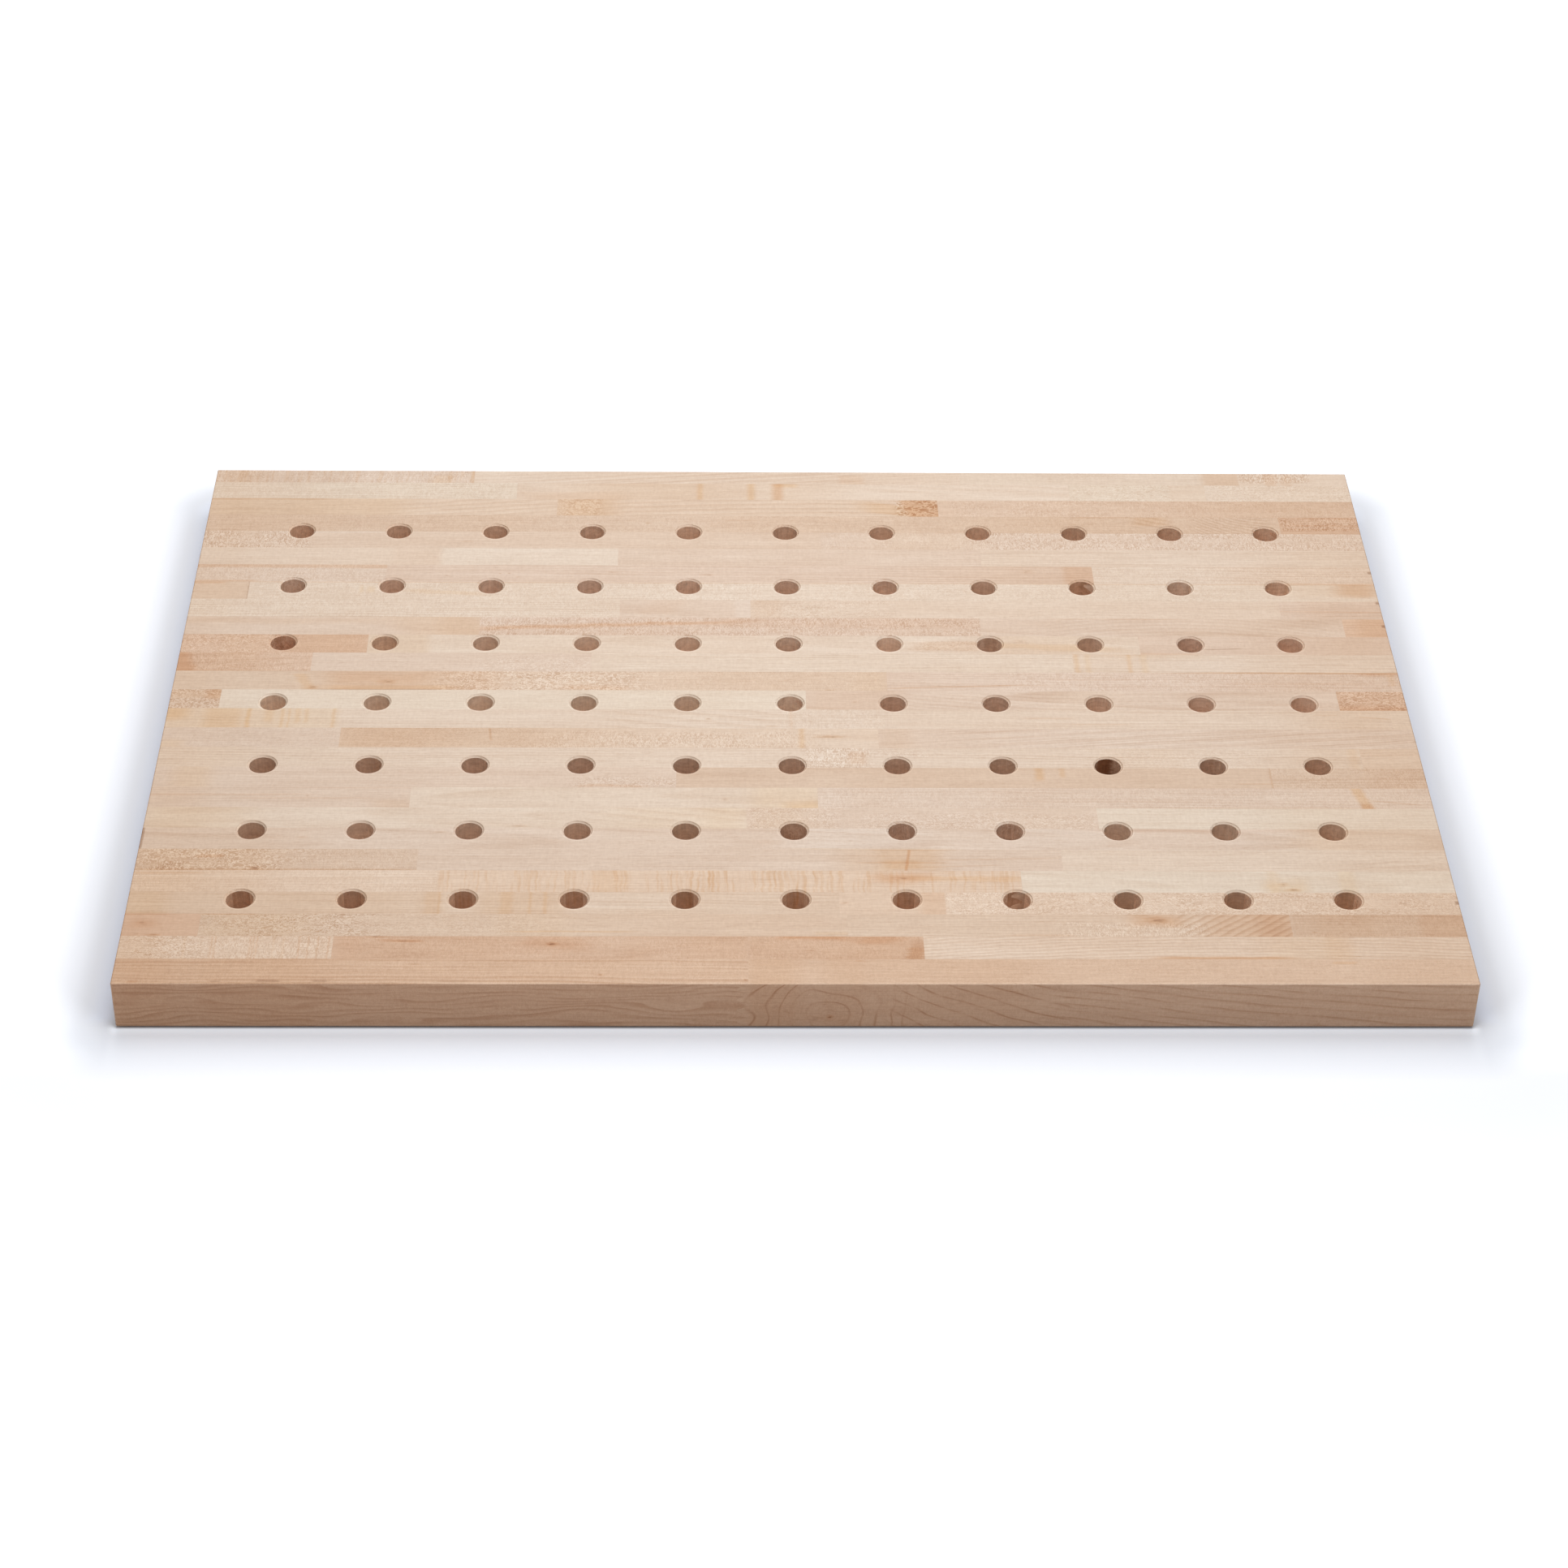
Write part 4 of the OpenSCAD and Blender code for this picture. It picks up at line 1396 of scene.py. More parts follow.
        stave(None, T.BLUSH, S.RIFT, 0.9,
            cast(826, 854, C.MILK, 0.6, 12), streak(800, 930, 0.42, C.RUST, 0.35), nick(0.93), slope=0.03),
    ),
    "strip_20": (
        stave(43, T.TAN, S.QUARTER, 0.9,
            *bars(C.UMBER, 0.45, (42.2, 43.4)), streak(-5, 24, 0.94, C.RUST, 0.6, 0.12)),
        stave(None, T.CREAM, S.QUARTER, 0.4,
            *bars(C.HONEY, 0.7, (128, 131), (134, 140), low=0.35, high=0.75),
            cast(166, 222, C.AMBER, 0.35, 12, low=0.38, high=0.6, rise=-0.07),
            streak(-20, 960, 0.985, C.RUST, 0.5, 0.06),
            Fleck(440, 830, fade=60, length=2.6, height=2.4, light=0.05, dark=0.08),
            ticks(45, 440, 0.07, 0.06), cast(290, 640, C.MILK, 0.3, 40),
            cast(884, 914, C.RUST, 0.75, 10, low=0.25, edge=0.2), cast(840, 920, C.TAN, 0.3, 30, low=0.3),
            Knot(913, 0, 3, 1.4, 0.5)),
    ),
    "strip_21": (
        stave(147, T.ROSE, S.RIFT, 0.4,
            cast(-5, 150, C.RUST, 0.6, 2, low=0.8, edge=0.06), streak(-10, 48, 0.02, C.RUST, 0.7, 0.12),
            cast(60, 147, C.MILK, 0.35), ticks(-5, 147, 0.09, 0.07)),
        stave(696, T.BLUSH, S.RIFT, 0.9,
            cast(673, 700, C.RUST, 0.5, 4), cast(560, 700, C.TAN, 0.25, 40), Knot(645, 0.7, 7, 4, 0.3),
            Knot(235, 0.5, 1.8, 1.1, 0.5), Knot(242, 0.52, 1.6, 1.1, 0.4), Knot(249, 0.3, 1.8, 1.1, 0.45),
            Knot(322, 0.6, 6, 1.1, 0.4), Knot(396, 0.46, 9, 1.1, 0.45), Knot(194, 0.38, 2, 1.2, 0.3),
            cast(147, 600, C.MILK, 0.65, 40), Burn(686, 696, fade=2, strength=0.5)),
        stave(None, T.PALE, S.RIFT, 1,
            cast(800, 930, C.ROSE, 0.5, 60), cast(696, 800, C.MILK, 0.35, 30), ticks(696, 920, 0.06, 0.05),
            streak(840, 930, 0.02, C.RUST, 0.5, 0.1), nick(0.68)),
    ),
    "strip_22": (
        stave(326, T.CREAM, S.RIFT, 0.3,
            cast(150, 188, C.ROSE, 0.75, 4), cast(189, 330, C.MILK, 0.45, 4), cast(-5, 150, C.ROSE, 0.45, 6),
            cast(-5, 40, C.ASH, 0.5, 15)),
        stave(610, T.ROSE, S.RIFT, 0.6),
        stave(None, T.PALE, S.QUARTER, 0.9, cast(690, 850, C.MILK, 0.3, 40)),
    ),
    "strip_23": (
        stave(485, T.ROSE, S.RIFT, 0.4,
            ticks(-5, 84, 0.22, 0.14, fade=5), cast(-5, 490, C.HONEY, 0.15, 4), cast(10, 40, C.TAN, 0.2),
            Knot(206, 0.4, 6, 1.6, 0.3), streak(60, 140, 0.93, C.MILK, 0.6, 0.1)),
        stave(None, T.ROSE, S.QUARTER, 0.3,
            ticks(485, 630, 0.06, 0.07, fade=10), ticks(612, 920, 0.17, 0.11, fade=20),
            cast(530, 610, C.HONEY, 0.25, 25)),
    ),
    "strip_24": (
        stave(851, T.FAWN, S.RIFT, 0.4,
            Sweep(735, 766, fade=6, low=0.35, run=-0.35, pitch=6, depth=0.14),
            Sweep(782, 842, fade=8, run=-0.45, bow=0.006, pitch=4.2, depth=0.16),
            cast(10, 100, C.TAN, 0.3, 30), cast(255, 400, C.MILK, 0.5, 30), cast(630, 780, C.TAN, 0.35, 40),
            ticks(-5, 851, 0.06, 0.05), Knot(348, 0.55, 3, 1.2, 0.5),
            streak(410, 435, 0.72, C.BROWN, 0.4, 0.04), streak(690, 730, 0.98, C.RUST, 0.4),
            cast(735, 760, C.AMBER, 0.35, 8, low=0.5), Knot(126, 0.92, 3, 2, 0.3)),
        stave(None, T.CHESTNUT, S.QUARTER, 1.2,
            ticks(851, 920, 0.28, 0.12, low=0.2), cast(851, 920, C.MILK, 0.7, 3),
            streak(858, 930, 0.52, C.RUST, 0.4), streak(858, 930, 0.3, C.RUST, 0.3),
            streak(870, 930, 0.96, C.RUST, 0.4)),
    ),
    "strip_25": (
        stave(276, T.TAN, S.QUARTER, 0.5,
            cast(-5, 160, C.HONEY, 0.4, 22), cast(-5, 95, C.ASH, 0.8, 40), cast(100, 175, C.MILK, 0.3),
            streak(-20, 95, 0.96, C.BROWN, 0.45, 0.1), cast(150, 280, C.MILK, 0.65, 22),
            Sweep(150, 276, fade=18, run=0.13, pitch=6, depth=0.11)),
        stave(580, T.TAN, S.QUARTER, 0.5,
            cast(276, 320, C.AMBER, 0.42, 16),
            Fleck(276, 312, length=4.8, height=4.4, light=0.12, dark=0.14), cast(330, 545, C.MILK, 0.65, 40),
            Sweep(305, 560, fade=20, run=0.03, bow=-0.0002, pitch=6.5, depth=0.12),
            cast(520, 560, C.AMBER, 0.5, 14, low=0.3, high=0.95, rise=-0.2),
            cast(553, 582, C.RUST, 0.9, 4, slant=-0.3),
            Fleck(546, 582, length=5.2, height=4.4, light=0.1, dark=0.4)),
        stave(None, T.BLUSH, S.FLAT, 0.3,
            Fleck(600, 712, fade=20, light=0.07, dark=0.05), cast(580, 920, C.TAN, 0.26, 3),
            cast(580, 920, C.HONEY, 0.2, 3), cast(585, 650, C.MILK, 0.5, 25),
            cast(760, 920, C.TAN, 0.25, 60), ticks(590, 920, 0.09, 0.06)),
    ),
    "strip_26": (
        stave(243, T.SAP, S.RIFT, 0.8,
            cast(-5, 250, C.ASH, 0.4, 4), cast(-5, 80, C.ROSE, 0.6, 25), ticks(-5, 243, 0.07, 0.05)),
        stave(687, T.PALE, S.FLAT, 0.5,
            cast(278, 500, C.TAN, 0.3, 25), cast(246, 330, C.RUST, 0.3, low=-0.2, high=0.4, edge=0.2),
            cast(310, 402, C.TAN, 0.3, 14), *bars(C.AMBER, 0.6, (387.5, 392)),
            *bars(C.AMBER, 0.65, (428, 433.6)), *bars(C.RUST, 0.8, (448, 456)),
            *bars(C.MILK, 0.35, (434.5, 447)), cast(450, 468, C.AMBER, 0.6, 4, low=0.8, edge=0.08),
            cast(470, 610, C.MILK, 0.35), cast(610, 690, C.MILK, 0.35), slope=-0.03),
        stave(797, T.SAP, S.RIFT, 0.3,
            cast(768, 800, C.ROSE, 0.8, 3), Fleck(687, 770, light=0.05, dark=0.12)),
        stave(None, T.CREAM, S.QUARTER, 0.3,
            Fleck(797, 920, length=2.6, height=2.2, light=0.05, dark=0.13), cast(797, 930, C.MILK, 0.35, 3)),
    ),
    "back_strip": (
        stave(208, T.ROSE, S.RIFT, 0.4,
            Curl(-5, 210, pitch=2.6, depth=0.09), ticks(-5, 208, 0.12, 0.08), cast(12, 44, C.AMBER, 0.15, 6),
            cast(28, 116, C.ASH, 0.7, 14), cast(112, 205, C.MILK, 0.7), cast(-5, 30, C.TAN, 0.3, 10),
            cast(174, 191, C.AMBER, 0.35, 3, low=-0.2, high=0.6), *bars(C.AMBER, 0.5, (205.5, 208))),
        stave(600, T.PALE, S.RIFT, 0.8,
            cast(502, 522, C.RUST, 0.3, 3, low=-0.2, high=0.65, edge=0.12), cast(208, 300, C.MILK, 0.35),
            Sweep(290, 520, fade=30, run=0.11, pitch=6.5, depth=0.1), slope=0.11),
        stave(826, T.CREAM, S.RIFT, 0.4,
            cast(597, 830, C.ASH, 0.6, 4), cast(797, 828, C.RUST, 0.45, 4),
            Fleck(680, 740, low=0.5, light=0.04, dark=0.08)),
        stave(None, T.PALE, S.QUARTER, 0.3,
            ticks(826, 884, 0.26, 0.1, low=0.2), cast(838, 930, C.MILK, 0.6, 8),
            cast(847, 857, C.RUST, 0.4, 2.5), cast(861, 869, C.RUST, 0.28, 2.5)),
    ),
}


@dataclass(frozen=True)
class FingerJoint:
    """The comb in which two staves meet end to end (mm)."""

    length: float = 7.5
    count: int = 4
    tip: float = 1.6
    gap: float = 0.01

    def comb(self, x: float, top: float) -> list[tuple[float, float]]:
        """Draws the joint as seen from the front, from the underside up.

        Args:
            x: where it meets both faces.
            top: height of the top face.

        Returns:
            Points (x, z).
        """
        pitch, half = top / self.count, self.tip / 2
        points = [(x, 0.0)]
        for k in range(self.count):
            middle = (k + 0.5) * pitch
            points += [
                (x, middle - pitch / 2 + half),
                (x - self.length, middle - half),
                (x - self.length, middle + half),
                (x, middle + pitch / 2 - half),
            ]
        return [*points, (x, top)]


@dataclass
class HoleDrill:
    """Geometry nodes that drill one row of chamfered dog holes into a strip."""

    radius: float
    pitch: float
    first_x: float
    columns: int
    rows: tuple[float, ...]
    rim: float = 1.2 * MM
    over: float = 1.0 * MM
    segments: int = 64
    tree: bpy.types.NodeTree = field(init=False)

    def __post_init__(self) -> None:
        """Builds the tree once for all strips."""
        self.tree = self._tree()

    @classmethod
    def from_record(cls, record: dict) -> "HoleDrill":
        """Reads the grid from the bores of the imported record.

        Args:
            record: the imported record.

        Returns:
            A drill for that grid.
        """
        bores = [m for m in record["mounts"] if m["kind"] == "bore"]
        xs = sorted({round(m["pos_m"][0], 6) for m in bores})
        ys = sorted({round(m["pos_m"][1], 6) for m in bores})
        return cls(bores[0]["dims"]["r_mm"] * MM, xs[1] - xs[0], xs[0], len(xs), tuple(ys))

    @property
    def reach(self) -> float:
        """Radius of the mouth of a hole."""
        return self.radius + self.rim

    def row_in(self, low: float, high: float) -> float | None:
        """Finds the row of holes that touches a strip, if there is one.

        Args:
            low: front of the strip.
            high: back of the strip.

        Returns:
            The row's place across the top.
        """
        return next((y for y in self.rows if low - self.reach < y < high + self.reach), None)

    def _tree(self) -> bpy.types.NodeTree:
        """Makes the node tree: a cone with a drawn-out foot is the cutter, carried by a row of points."""
        sizes = floats("Bore Radius", "Rim", "Thickness", "Overshoot", "Pitch", "First X", "Row Y")
        inputs = {"Strip": GEOMETRY, **sizes, "Columns": WHOLE, "Segments": WHOLE, "Maple": MATERIAL}
        g = Group("drill_dog_holes", inputs, {"Drilled": GEOMETRY}, "GeometryNodeTree")
        lift = g["Rim"] + g["Overshoot"]
        throat = g["Thickness"] - g["Rim"]
        mouth = g.node(
            "GeometryNodeMeshCone",
            {
                "Vertices": g["Segments"],
                "Radius Top": g["Bore Radius"] + lift,
                "Radius Bottom": g["Bore Radius"],
                "Depth": lift,
            },
        )
        feeds = {"Mesh": mouth.outputs["Mesh"], "Selection": mouth.outputs["Bottom"]}
        feeds["Offset Scale"] = throat + g["Overshoot"]
        shank = g.node("GeometryNodeExtrudeMesh", feeds, mode="FACES")
        feeds = {"Geometry": shank.outputs["Mesh"], "Translation": g.place(z=throat)}
        cutter = g.node("GeometryNodeTransform", feeds)
        start = g.place(g["First X"], g["Row Y"])
        feeds = {"Count": g["Columns"], "Start Location": start, "Offset": g.place(g["Pitch"])}
        row = g.node("GeometryNodeMeshLine", feeds)
        feeds = {"Points": row.outputs[0], "Instance": cutter.outputs[0]}
        holes = g.node("GeometryNodeInstanceOnPoints", feeds)
        solid = g.node("GeometryNodeRealizeInstances", {"Geometry": holes.outputs[0]})
        feeds = {"Mesh 1": g["Strip"], "Mesh 2": solid.outputs[0]}
        cut = g.node("GeometryNodeMeshBoolean", feeds, operation="DIFFERENCE", solver="EXACT")
        real = g.node("GeometryNodeRealizeInstances", {"Geometry": cut.outputs["Mesh"]})
        dressed = g.node("GeometryNodeSetMaterial", {"Geometry": real.outputs[0], "Material": g["Maple"]})
        return g.end(Drilled=dressed.outputs[0])

    def drill(
        self, strip: bpy.types.Object, row: float, thickness: float, maple: bpy.types.Material
    ) -> None:
        """Drills a strip and leaves it as a plain mesh.

        Args:
            strip: the strip's object.
            row: place of its row of holes across the top.
            thickness: thickness of the top.
            maple: material of the result, until its staves are dressed.
        """
        modifier = strip.modifiers.new("drill", "NODES")
        modifier.node_group = self.tree
        values = {
            "Bore Radius": self.radius, "Rim": self.rim, "Thickness": thickness, "Overshoot": self.over,
            "Pitch": self.pitch, "First X": self.first_x, "Row Y": row, "Columns": self.columns,
            "Segments": self.segments, "Maple": maple,
        }
        for item in self.tree.interface.items_tree:
            if item.in_out == "INPUT" and item.name in values:
                modifier[item.identifier] = values[item.name]
        graph = bpy.context.evaluated_depsgraph_get()
        drilled = bpy.data.meshes.new_from_object(strip.evaluated_get(graph))
        strip.modifiers.remove(modifier)
        blank, strip.data = strip.data, drilled
        bpy.data.meshes.remove(blank)
        drilled.name = strip.name


@dataclass
class Strip:
    """One strip of the top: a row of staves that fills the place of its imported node."""

    name: str
    number: int
    staves: tuple[Stave, ...]
    joint: FingerJoint = FingerJoint()
    glue: float = 0.1
    ease: float = 0.8 * MM
    ease_segments: int = 3
    ease_profile: float = 0.5
    smooth_angle: float = math.radians(35.0)
    # How near a point has to lie to an outer face to lie in it
    touch: float = 0.01 * MM
    # Parts of a face's normal: past the first it leans, under the second it is a wall, past the third square
    leans: ClassVar[float] = 0.15
    wall: ClassVar[float] = 0.3
    square: ClassVar[float] = 0.9
    faces_down: ClassVar[float] = -0.1
    # Numbers set apart for the staves of one strip, so that each stave of the top has a seed of its own
    seeds: ClassVar[int] = 5

    def __post_init__(self) -> None:
        """Takes the strip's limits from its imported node, and closes its glue lines but for a hair."""
        self.low, self.high = (corner.copy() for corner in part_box(self.name))
        low, high = CAD_BOX
        grow = (self.glue - self.joint.gap) / 2 * MM
        self.low.y = max(low.y, self.low.y - grow)
        self.high.y = min(high.y, self.high.y + grow)

    def build(self, drill: HoleDrill, groups: MapleGroups) -> bpy.types.Object:
        """Builds the strip, drills it, dresses its staves and puts it in the node's place.

        Args:
            drill: the drill for the grid of holes.
            groups: the shared shader groups.

        Returns:
            The strip's object.
        """
        strip = bpy.data.objects.new(f"{self.name}_staves", self._blank())
        bpy.context.scene.collection.objects.link(strip)
        row = drill.row_in(self.low.y, self.high.y)
        finishes = self._finishes(groups, drill, row)
        if row is not None:
            drill.drill(strip, row, self.high.z, finishes[0])
        self._dress(strip.data, finishes, drill, row)
        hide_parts(self.name)
        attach(strip, BODY)
        LOG.info("%s: %d staves, %d faces", strip.name, len(self.staves), len(strip.data.polygons))
        return strip

    def _ends(self) -> list[float]:
        """Gives the joints' places along the top in mm, from the left end on."""
        return [stave.end + self.low.x / MM for stave in self.staves[:-1]]

    def _blank(self) -> bpy.types.Mesh:
        """Makes the undrilled staves, with combs where they meet and rounded outer arrises."""
        shape = bmesh.new()
        left, right, top = self.low.x / MM, self.high.x / MM, self.high.z / MM
        half = self.joint.gap / 2
        starts = [[(left, 0.0), (left, top)]] + [self.joint.comb(x + half, top) for x in self._ends()]
        stops = [self.joint.comb(x - half, top) for x in self._ends()] + [[(right, 0.0), (right, top)]]
        for start, stop in zip(starts, stops):
            outline = start + stop[::-1]
            near = [shape.verts.new((x * MM, self.low.y, z * MM)) for x, z in outline]
            far = [shape.verts.new((x * MM, self.high.y, z * MM)) for x, z in outline]
            shape.faces.new(near)
            shape.faces.new(far[::-1])
            for k in range(len(outline)):
                j = (k + 1) % len(outline)
                shape.faces.new((near[k], far[k], far[j], near[j]))
        bmesh.ops.recalc_face_normals(shape, faces=shape.faces)
        edges = [e for e in shape.edges if self._is_arris(e)]
        if edges:
            shaped = {"segments": self.ease_segments, "profile": self.ease_profile}
            bmesh.ops.bevel(shape, geom=edges, offset=self.ease, affect="EDGES", **shaped)
        mesh = bpy.data.meshes.new(self.name)
        shape.to_mesh(mesh)
        shape.free()
        return mesh

    def _is_arris(self, edge: bmesh.types.BMEdge) -> bool:
        """Tells whether an edge lies where two outer faces of the whole top meet.

        Args:
            edge: an edge of the blank.

        Returns:
            True for an outer arris.
        """
        low, high = CAD_BOX
        outer = 0
        for axis in range(3):
            values = [v.co[axis] for v in edge.verts]
            for limit in (low[axis], high[axis]):
                outer += all(abs(v - limit) < self.touch for v in values)
        return outer >= 2

    def _finishes(
        self, groups: MapleGroups, drill: HoleDrill, row: float | None
    ) -> list[bpy.types.Material]:
        """Makes one material for each stave.

        Args:
            groups: the shared shader groups.
            drill: the drill for the grid of holes.
            row: place of the strip's row of holes, if it has one.

        Returns:
            The materials, from the left.
        """
        middle = (self.low.y + self.high.y) / 2 / MM
        width = (self.high.y - self.low.y) / MM
        holes = {
            "Row": NO_ROW if row is None else row / MM - middle,
            "Hole Pitch": drill.pitch / MM,
            "Last Column": (drill.columns - 1) / 2,
            "Mouth": drill.reach / MM,
        }
        finishes = []
        for k, stave in enumerate(self.staves, 1):
            name, seed = f"{self.name}_maple_{k}", self.seeds * self.number + k
            finishes.append(stave.finish(name, seed, groups, middle, width, holes))
        return finishes

    def _dress(
        self, mesh: bpy.types.Mesh, finishes: list[bpy.types.Material], drill: HoleDrill, row: float | None
    ) -> None:
        """Gives each stave its material, marks how its faces were cut, and smooths what is round.

        Args:
            mesh: the strip's mesh.
            finishes: the staves' materials, from the left.
            drill: the drill that was used.
            row: place of the strip's row of holes, if it has one.
        """
        mesh.materials.clear()
        for finish in finishes:
            mesh.materials.append(finish)
        shape = bmesh.new()
        shape.from_mesh(mesh)
        kinds = shape.faces.layers.float.new(CUT_ATTRIBUTE)
        for k, stave in enumerate(self._islands(shape)):
            for face in stave:
                face.material_index = k
                face[kinds] = self._kind(face, drill, row).value
                face.smooth = True
        for edge in shape.edges:
            edge.smooth = edge.calc_face_angle(0.0) < self.smooth_angle and self._is_round(edge)
        shape.to_mesh(mesh)
        shape.free()

    @staticmethod
    def _islands(shape: bmesh.types.BMesh) -> list[list[bmesh.types.BMFace]]:
        """Parts the faces into staves.

        Args:
            shape: the strip.

        Returns:
            The faces of each stave, from the left.
        """
        waiting, islands = set(shape.faces), []
        while waiting:
            island, edge = [], [waiting.pop()]
            while edge:
                face = edge.pop()
                island.append(face)
                for beside in (f for e in face.edges for f in e.link_faces if f in waiting):
                    waiting.discard(beside)
                    edge.append(beside)
            islands.append(island)
        return sorted(islands, key=lambda faces: max(v.co.x for f in faces for v in f.verts))

    def _is_round(self, edge: bmesh.types.BMEdge) -> bool:
        """Tells whether an edge lies within a flat face or a round one, and not where the two meet."""
        return len({self._is_eased(face) for face in edge.link_faces}) == 1

    def _is_eased(self, face: bmesh.types.BMFace) -> bool:
        """Tells whether a face leans, as those of a rounded arris do."""
        return sum(abs(part) > self.leans for part in face.normal) > 1

    def _kind(self, face: bmesh.types.BMFace, drill: HoleDrill, row: float | None) -> Cut:
        """Tells how a face was made.

        Args:
            face: a face of the strip.
            drill: the drill that was used.
            row: place of the strip's row of holes, if it has one.

        Returns:
            The kind of face.
        """
        middle = face.calc_center_median()
        if row is not None:
            column = min(max(round((middle.x - drill.first_x) / drill.pitch), 0), drill.columns - 1)
            away = math.hypot(middle.x - drill.first_x - column * drill.pitch, middle.y - row)
            if away < drill.reach and abs(face.normal.z) < self.wall:
                return Cut.BORED
            if away < drill.reach and abs(face.normal.z) < self.square:
                return Cut.RIM
        if self._is_eased(face) and abs(face.normal.x) < self.leans:
            return Cut.ARRIS if face.normal.z > self.faces_down else Cut.FOOT
        if abs(face.normal.x) > self.leans:
            return Cut.END
        return Cut.EDGE if abs(face.normal.y) > self.square else Cut.PLANED


@dataclass
class BenchTop:
    """The whole top: its strips from front to back."""

    cut_list: dict[str, tuple[Stave, ...]]
    strips: list[bpy.types.Object] = field(default_factory=list)

    def build(self) -> None:
        """Builds every strip in order."""
        groups = MapleGroups()
        drill = HoleDrill.from_record(frame["record"])
        for number, (name, staves) in enumerate(self.cut_list.items()):
            self.strips.append(Strip(name, number, staves).build(drill, groups))


@dataclass(frozen=True)
class SoftBox:
    """A large soft lamp over the top."""

    name: str
    place: tuple[float, float, float]
    aim: tuple[float, float, float]
    size: tuple[float, float]
    power: float
    colour: tuple[float, float, float] = WHITE

    def hang(self) -> None:
        """Adds the lamp to the scene."""
        lamp = bpy.data.lights.new(self.name, "AREA")
        lamp.shape = "RECTANGLE"
        lamp.size, lamp.size_y = self.size
        lamp.energy = self.power
        lamp.color = self.colour
        holder = bpy.data.objects.new(self.name, lamp)
        holder.location = self.place
        holder.rotation_euler = (Vector(self.aim) - Vector(self.place)).to_track_quat("-Z", "Y").to_euler()
        holder.visible_camera = False
        bpy.context.scene.collection.objects.link(holder)


class FloorRamp(Enum):
    """Distances from the top over which the floor's painted glow comes or goes, in m."""

    NEAR = (0.021, 0.056)
    FAR = (0.06, 0.32)
    PAST_END = (0.0, 0.007)
    APRON = (0.050, 0.022)
    FOOT = (0.009, 0.0)
    RIM = (0.024, 0.010)
    BESIDE = (0.0, 0.008)
    BEHIND_FRONT = (0.0, -0.012)


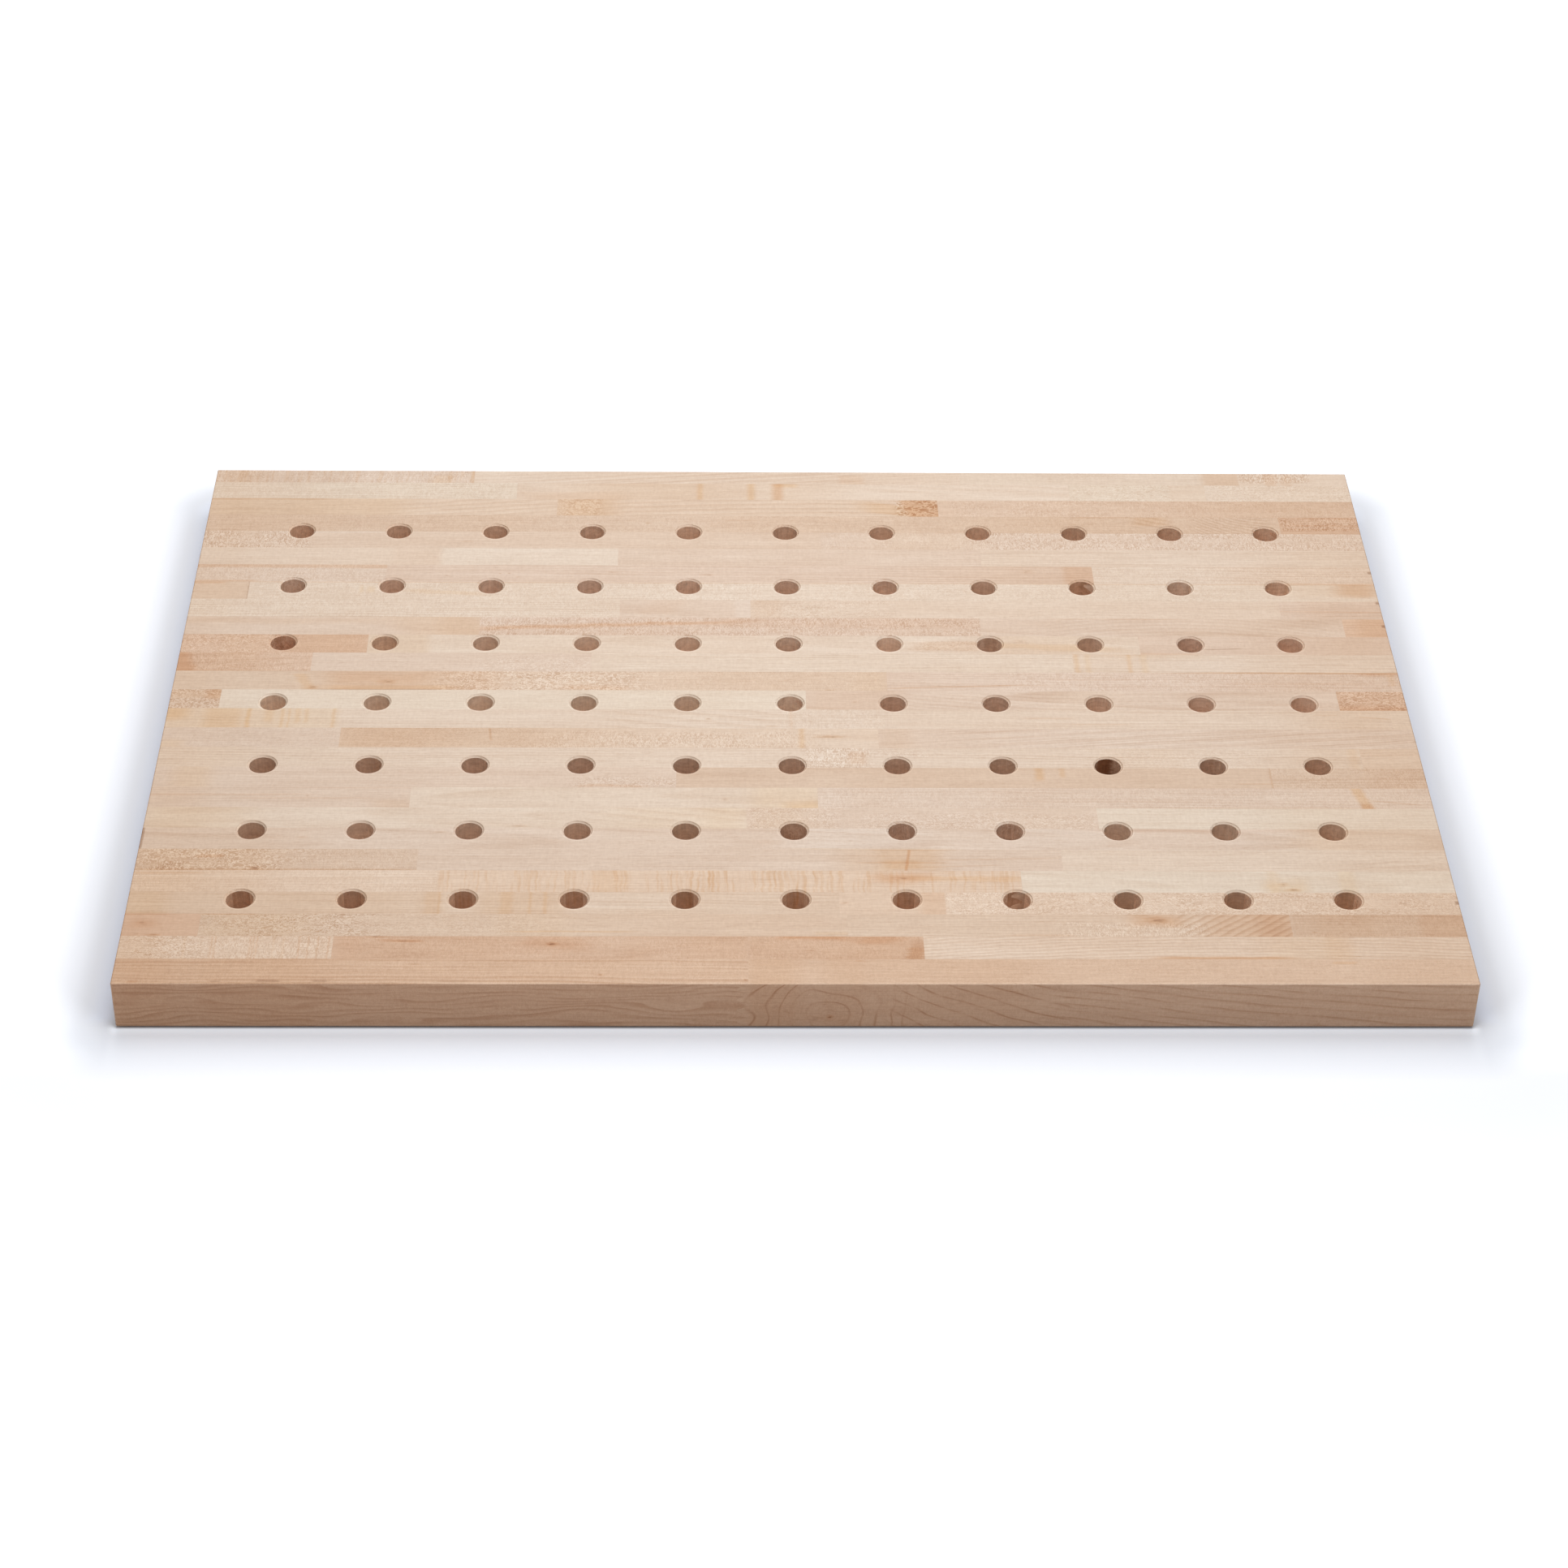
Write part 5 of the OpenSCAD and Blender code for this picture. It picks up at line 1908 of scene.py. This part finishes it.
@dataclass
class Studio:
    """A pale floor, soft light and the camera at the photograph's angle."""

    lens: float = 80.10
    sensor: float = 36.0
    place: tuple[float, float, float] = (-0.05968, -2.08191, 1.55904)
    right: tuple[float, float, float] = (0.99976784, -0.01591854, 0.01452189)
    ahead: tuple[float, float, float] = (0.02146891, 0.79334463, -0.60839411)
    clip: tuple[float, float] = (0.01, 100.0)
    floor_half: float = 6.0
    floor_squares: int = 8
    floor_drop: float = 0.0014
    floor_tint: tuple[float, float, float] = (0.781, 0.806, 0.864)
    floor_roughness: float = 0.9
    floor_specular: float = 0.1
    # Painted shade: how much darker the floor is at the right end than at the left
    floor_shade: float = 0.05
    # Painted glow of the floor, kept low near the top to paint its shadow: near the top, far from it, before
    # it, at its foot, beside it, lost off its corners
    near_glow: float = 0.27
    far_glow: float = 0.40
    apron_glow: float = 0.188
    foot_glow: float = 0.18
    rim_glow: float = 0.05
    corner_loss: float = 0.04
    apron_tint: tuple[float, float, float] = (0.98, 1.04, 1.13)
    rim_tint: tuple[float, float, float] = (0.6, 1.0, 1.8)
    # Where the light in front of the top begins: sideways lean, first and last distance
    apron_start: tuple[float, float, float] = (-1.2, -0.001, 0.0015)
    sky: float = 0.20
    lamps: tuple[SoftBox, ...] = (
        SoftBox("overhead", (0.04, 0.46, 1.58), (0.04, 0.46, 0.0), (1.62, 2.0), 32.4),
        SoftBox("front_fill", (-0.1, -1.5, 1.9), (0.0, 0.0, 0.0), (1.4, 0.8), 6.0),
    )

    def set_up(self) -> None:
        """Adds the floor, the light and the camera."""
        self._floor()
        self._light()
        self._camera()

    def _floor(self) -> None:
        """Lays a pale floor whose glow is painted light."""
        shape = bmesh.new()
        squares = self.floor_squares
        bmesh.ops.create_grid(shape, x_segments=squares, y_segments=squares, size=self.floor_half)
        mesh = bpy.data.meshes.new("floor")
        shape.to_mesh(mesh)
        shape.free()
        mesh.transform(Matrix.Translation((0.0, 0.0, -self.floor_drop)))
        mesh.materials.append(self._pale_floor())
        floor = bpy.data.objects.new("floor", mesh)
        bpy.context.scene.collection.objects.link(floor)

    def _pale_floor(self) -> bpy.types.Material:
        """Makes a white floor that glows, more so away from the top: painted light, whose dimmer, bluish
        ring round the top is a painted shadow.
        """
        material = bpy.data.materials.new("pale_floor")
        material.use_nodes = True
        g = Graph(material.node_tree)
        low, high = CAD_BOX
        spot = g.node("ShaderNodeTexCoord").outputs["Object"]
        beyond = g.vector("SUBTRACT", g.vector("ABSOLUTE", spot), tuple(high))
        beyond = g.vector("MAXIMUM", beyond, (0.0, 0.0, 0.0))
        length = g.node("ShaderNodeVectorMath", operation="LENGTH")
        g.feed(length.inputs[0], beyond)
        away = length.outputs["Value"]
        x, y, _ = g.axes(spot)
        ahead = low.y - y
        beside = g.axes(beyond)[0]
        past = g.ramp(beside, FloorRamp.PAST_END)
        lean, first, last = self.apron_start
        glow = g.ramp(away, FloorRamp.NEAR) * self.near_glow + g.ramp(away, FloorRamp.FAR) * self.far_glow
        apron = g.ramp(ahead, FloorRamp.APRON) * (past * -self.corner_loss + self.apron_glow)
        foot = g.ramp(ahead, FloorRamp.FOOT) * (1.0 - past)
        apron = (apron + foot * self.foot_glow) * g.step(ahead, beside * lean + first, last)
        # Painted bluish glow in the shadow beside the top
        rim = g.ramp(away, FloorRamp.RIM) * g.ramp(beside, FloorRamp.BESIDE) * self.rim_glow
        rim = rim * g.ramp(ahead, FloorRamp.BEHIND_FRONT)
        # Painted shade: the floor's colour is darker towards the right end
        shade = g.step(x, low.x, high.x) * -self.floor_shade + 1.0
        light = g.vector("MULTIPLY_ADD", self.apron_tint, apron, glow)
        light = g.vector("MULTIPLY_ADD", self.rim_tint, rim, light)
        shader = material.node_tree.nodes["Principled BSDF"]
        for label, value in (
            ("Base Color", g.vector("MULTIPLY", self.floor_tint, shade)),
            ("Roughness", self.floor_roughness),
            ("Specular IOR Level", self.floor_specular),
            ("Emission Color", light),
            ("Emission Strength", 1.0),
        ):
            g.feed(shader.inputs[label], value)
        return material

    def _light(self) -> None:
        """Sets a dim white surround and hangs the lamps."""
        scene = bpy.context.scene
        scene.view_settings.view_transform = "Standard"
        world = bpy.data.worlds.new("surround")
        world.use_nodes = True
        glow = world.node_tree.nodes["Background"]
        glow.inputs["Color"].default_value = (*WHITE, 1.0)
        glow.inputs["Strength"].default_value = self.sky
        scene.world = world
        for lamp in self.lamps:
            lamp.hang()

    def _camera(self) -> None:
        """Puts the camera where the photograph was taken from."""
        data = bpy.data.cameras.new("camera")
        data.lens, data.sensor_width = self.lens, self.sensor
        data.clip_start, data.clip_end = self.clip
        camera = bpy.data.objects.new("camera", data)
        right, back = Vector(self.right).normalized(), -Vector(self.ahead).normalized()
        up = back.cross(right)
        turn = Matrix((right, up, back)).transposed().to_4x4()
        camera.matrix_world = Matrix.Translation(self.place) @ turn
        bpy.context.scene.collection.objects.link(camera)
        bpy.context.scene.camera = camera


def main() -> None:
    """Builds the studio and the bench top."""
    logging.basicConfig(level=logging.INFO, format="%(name)s: %(message)s")
    Studio().set_up()
    BenchTop(CUT_LIST).build()


if __name__ == "__main__":
    main()
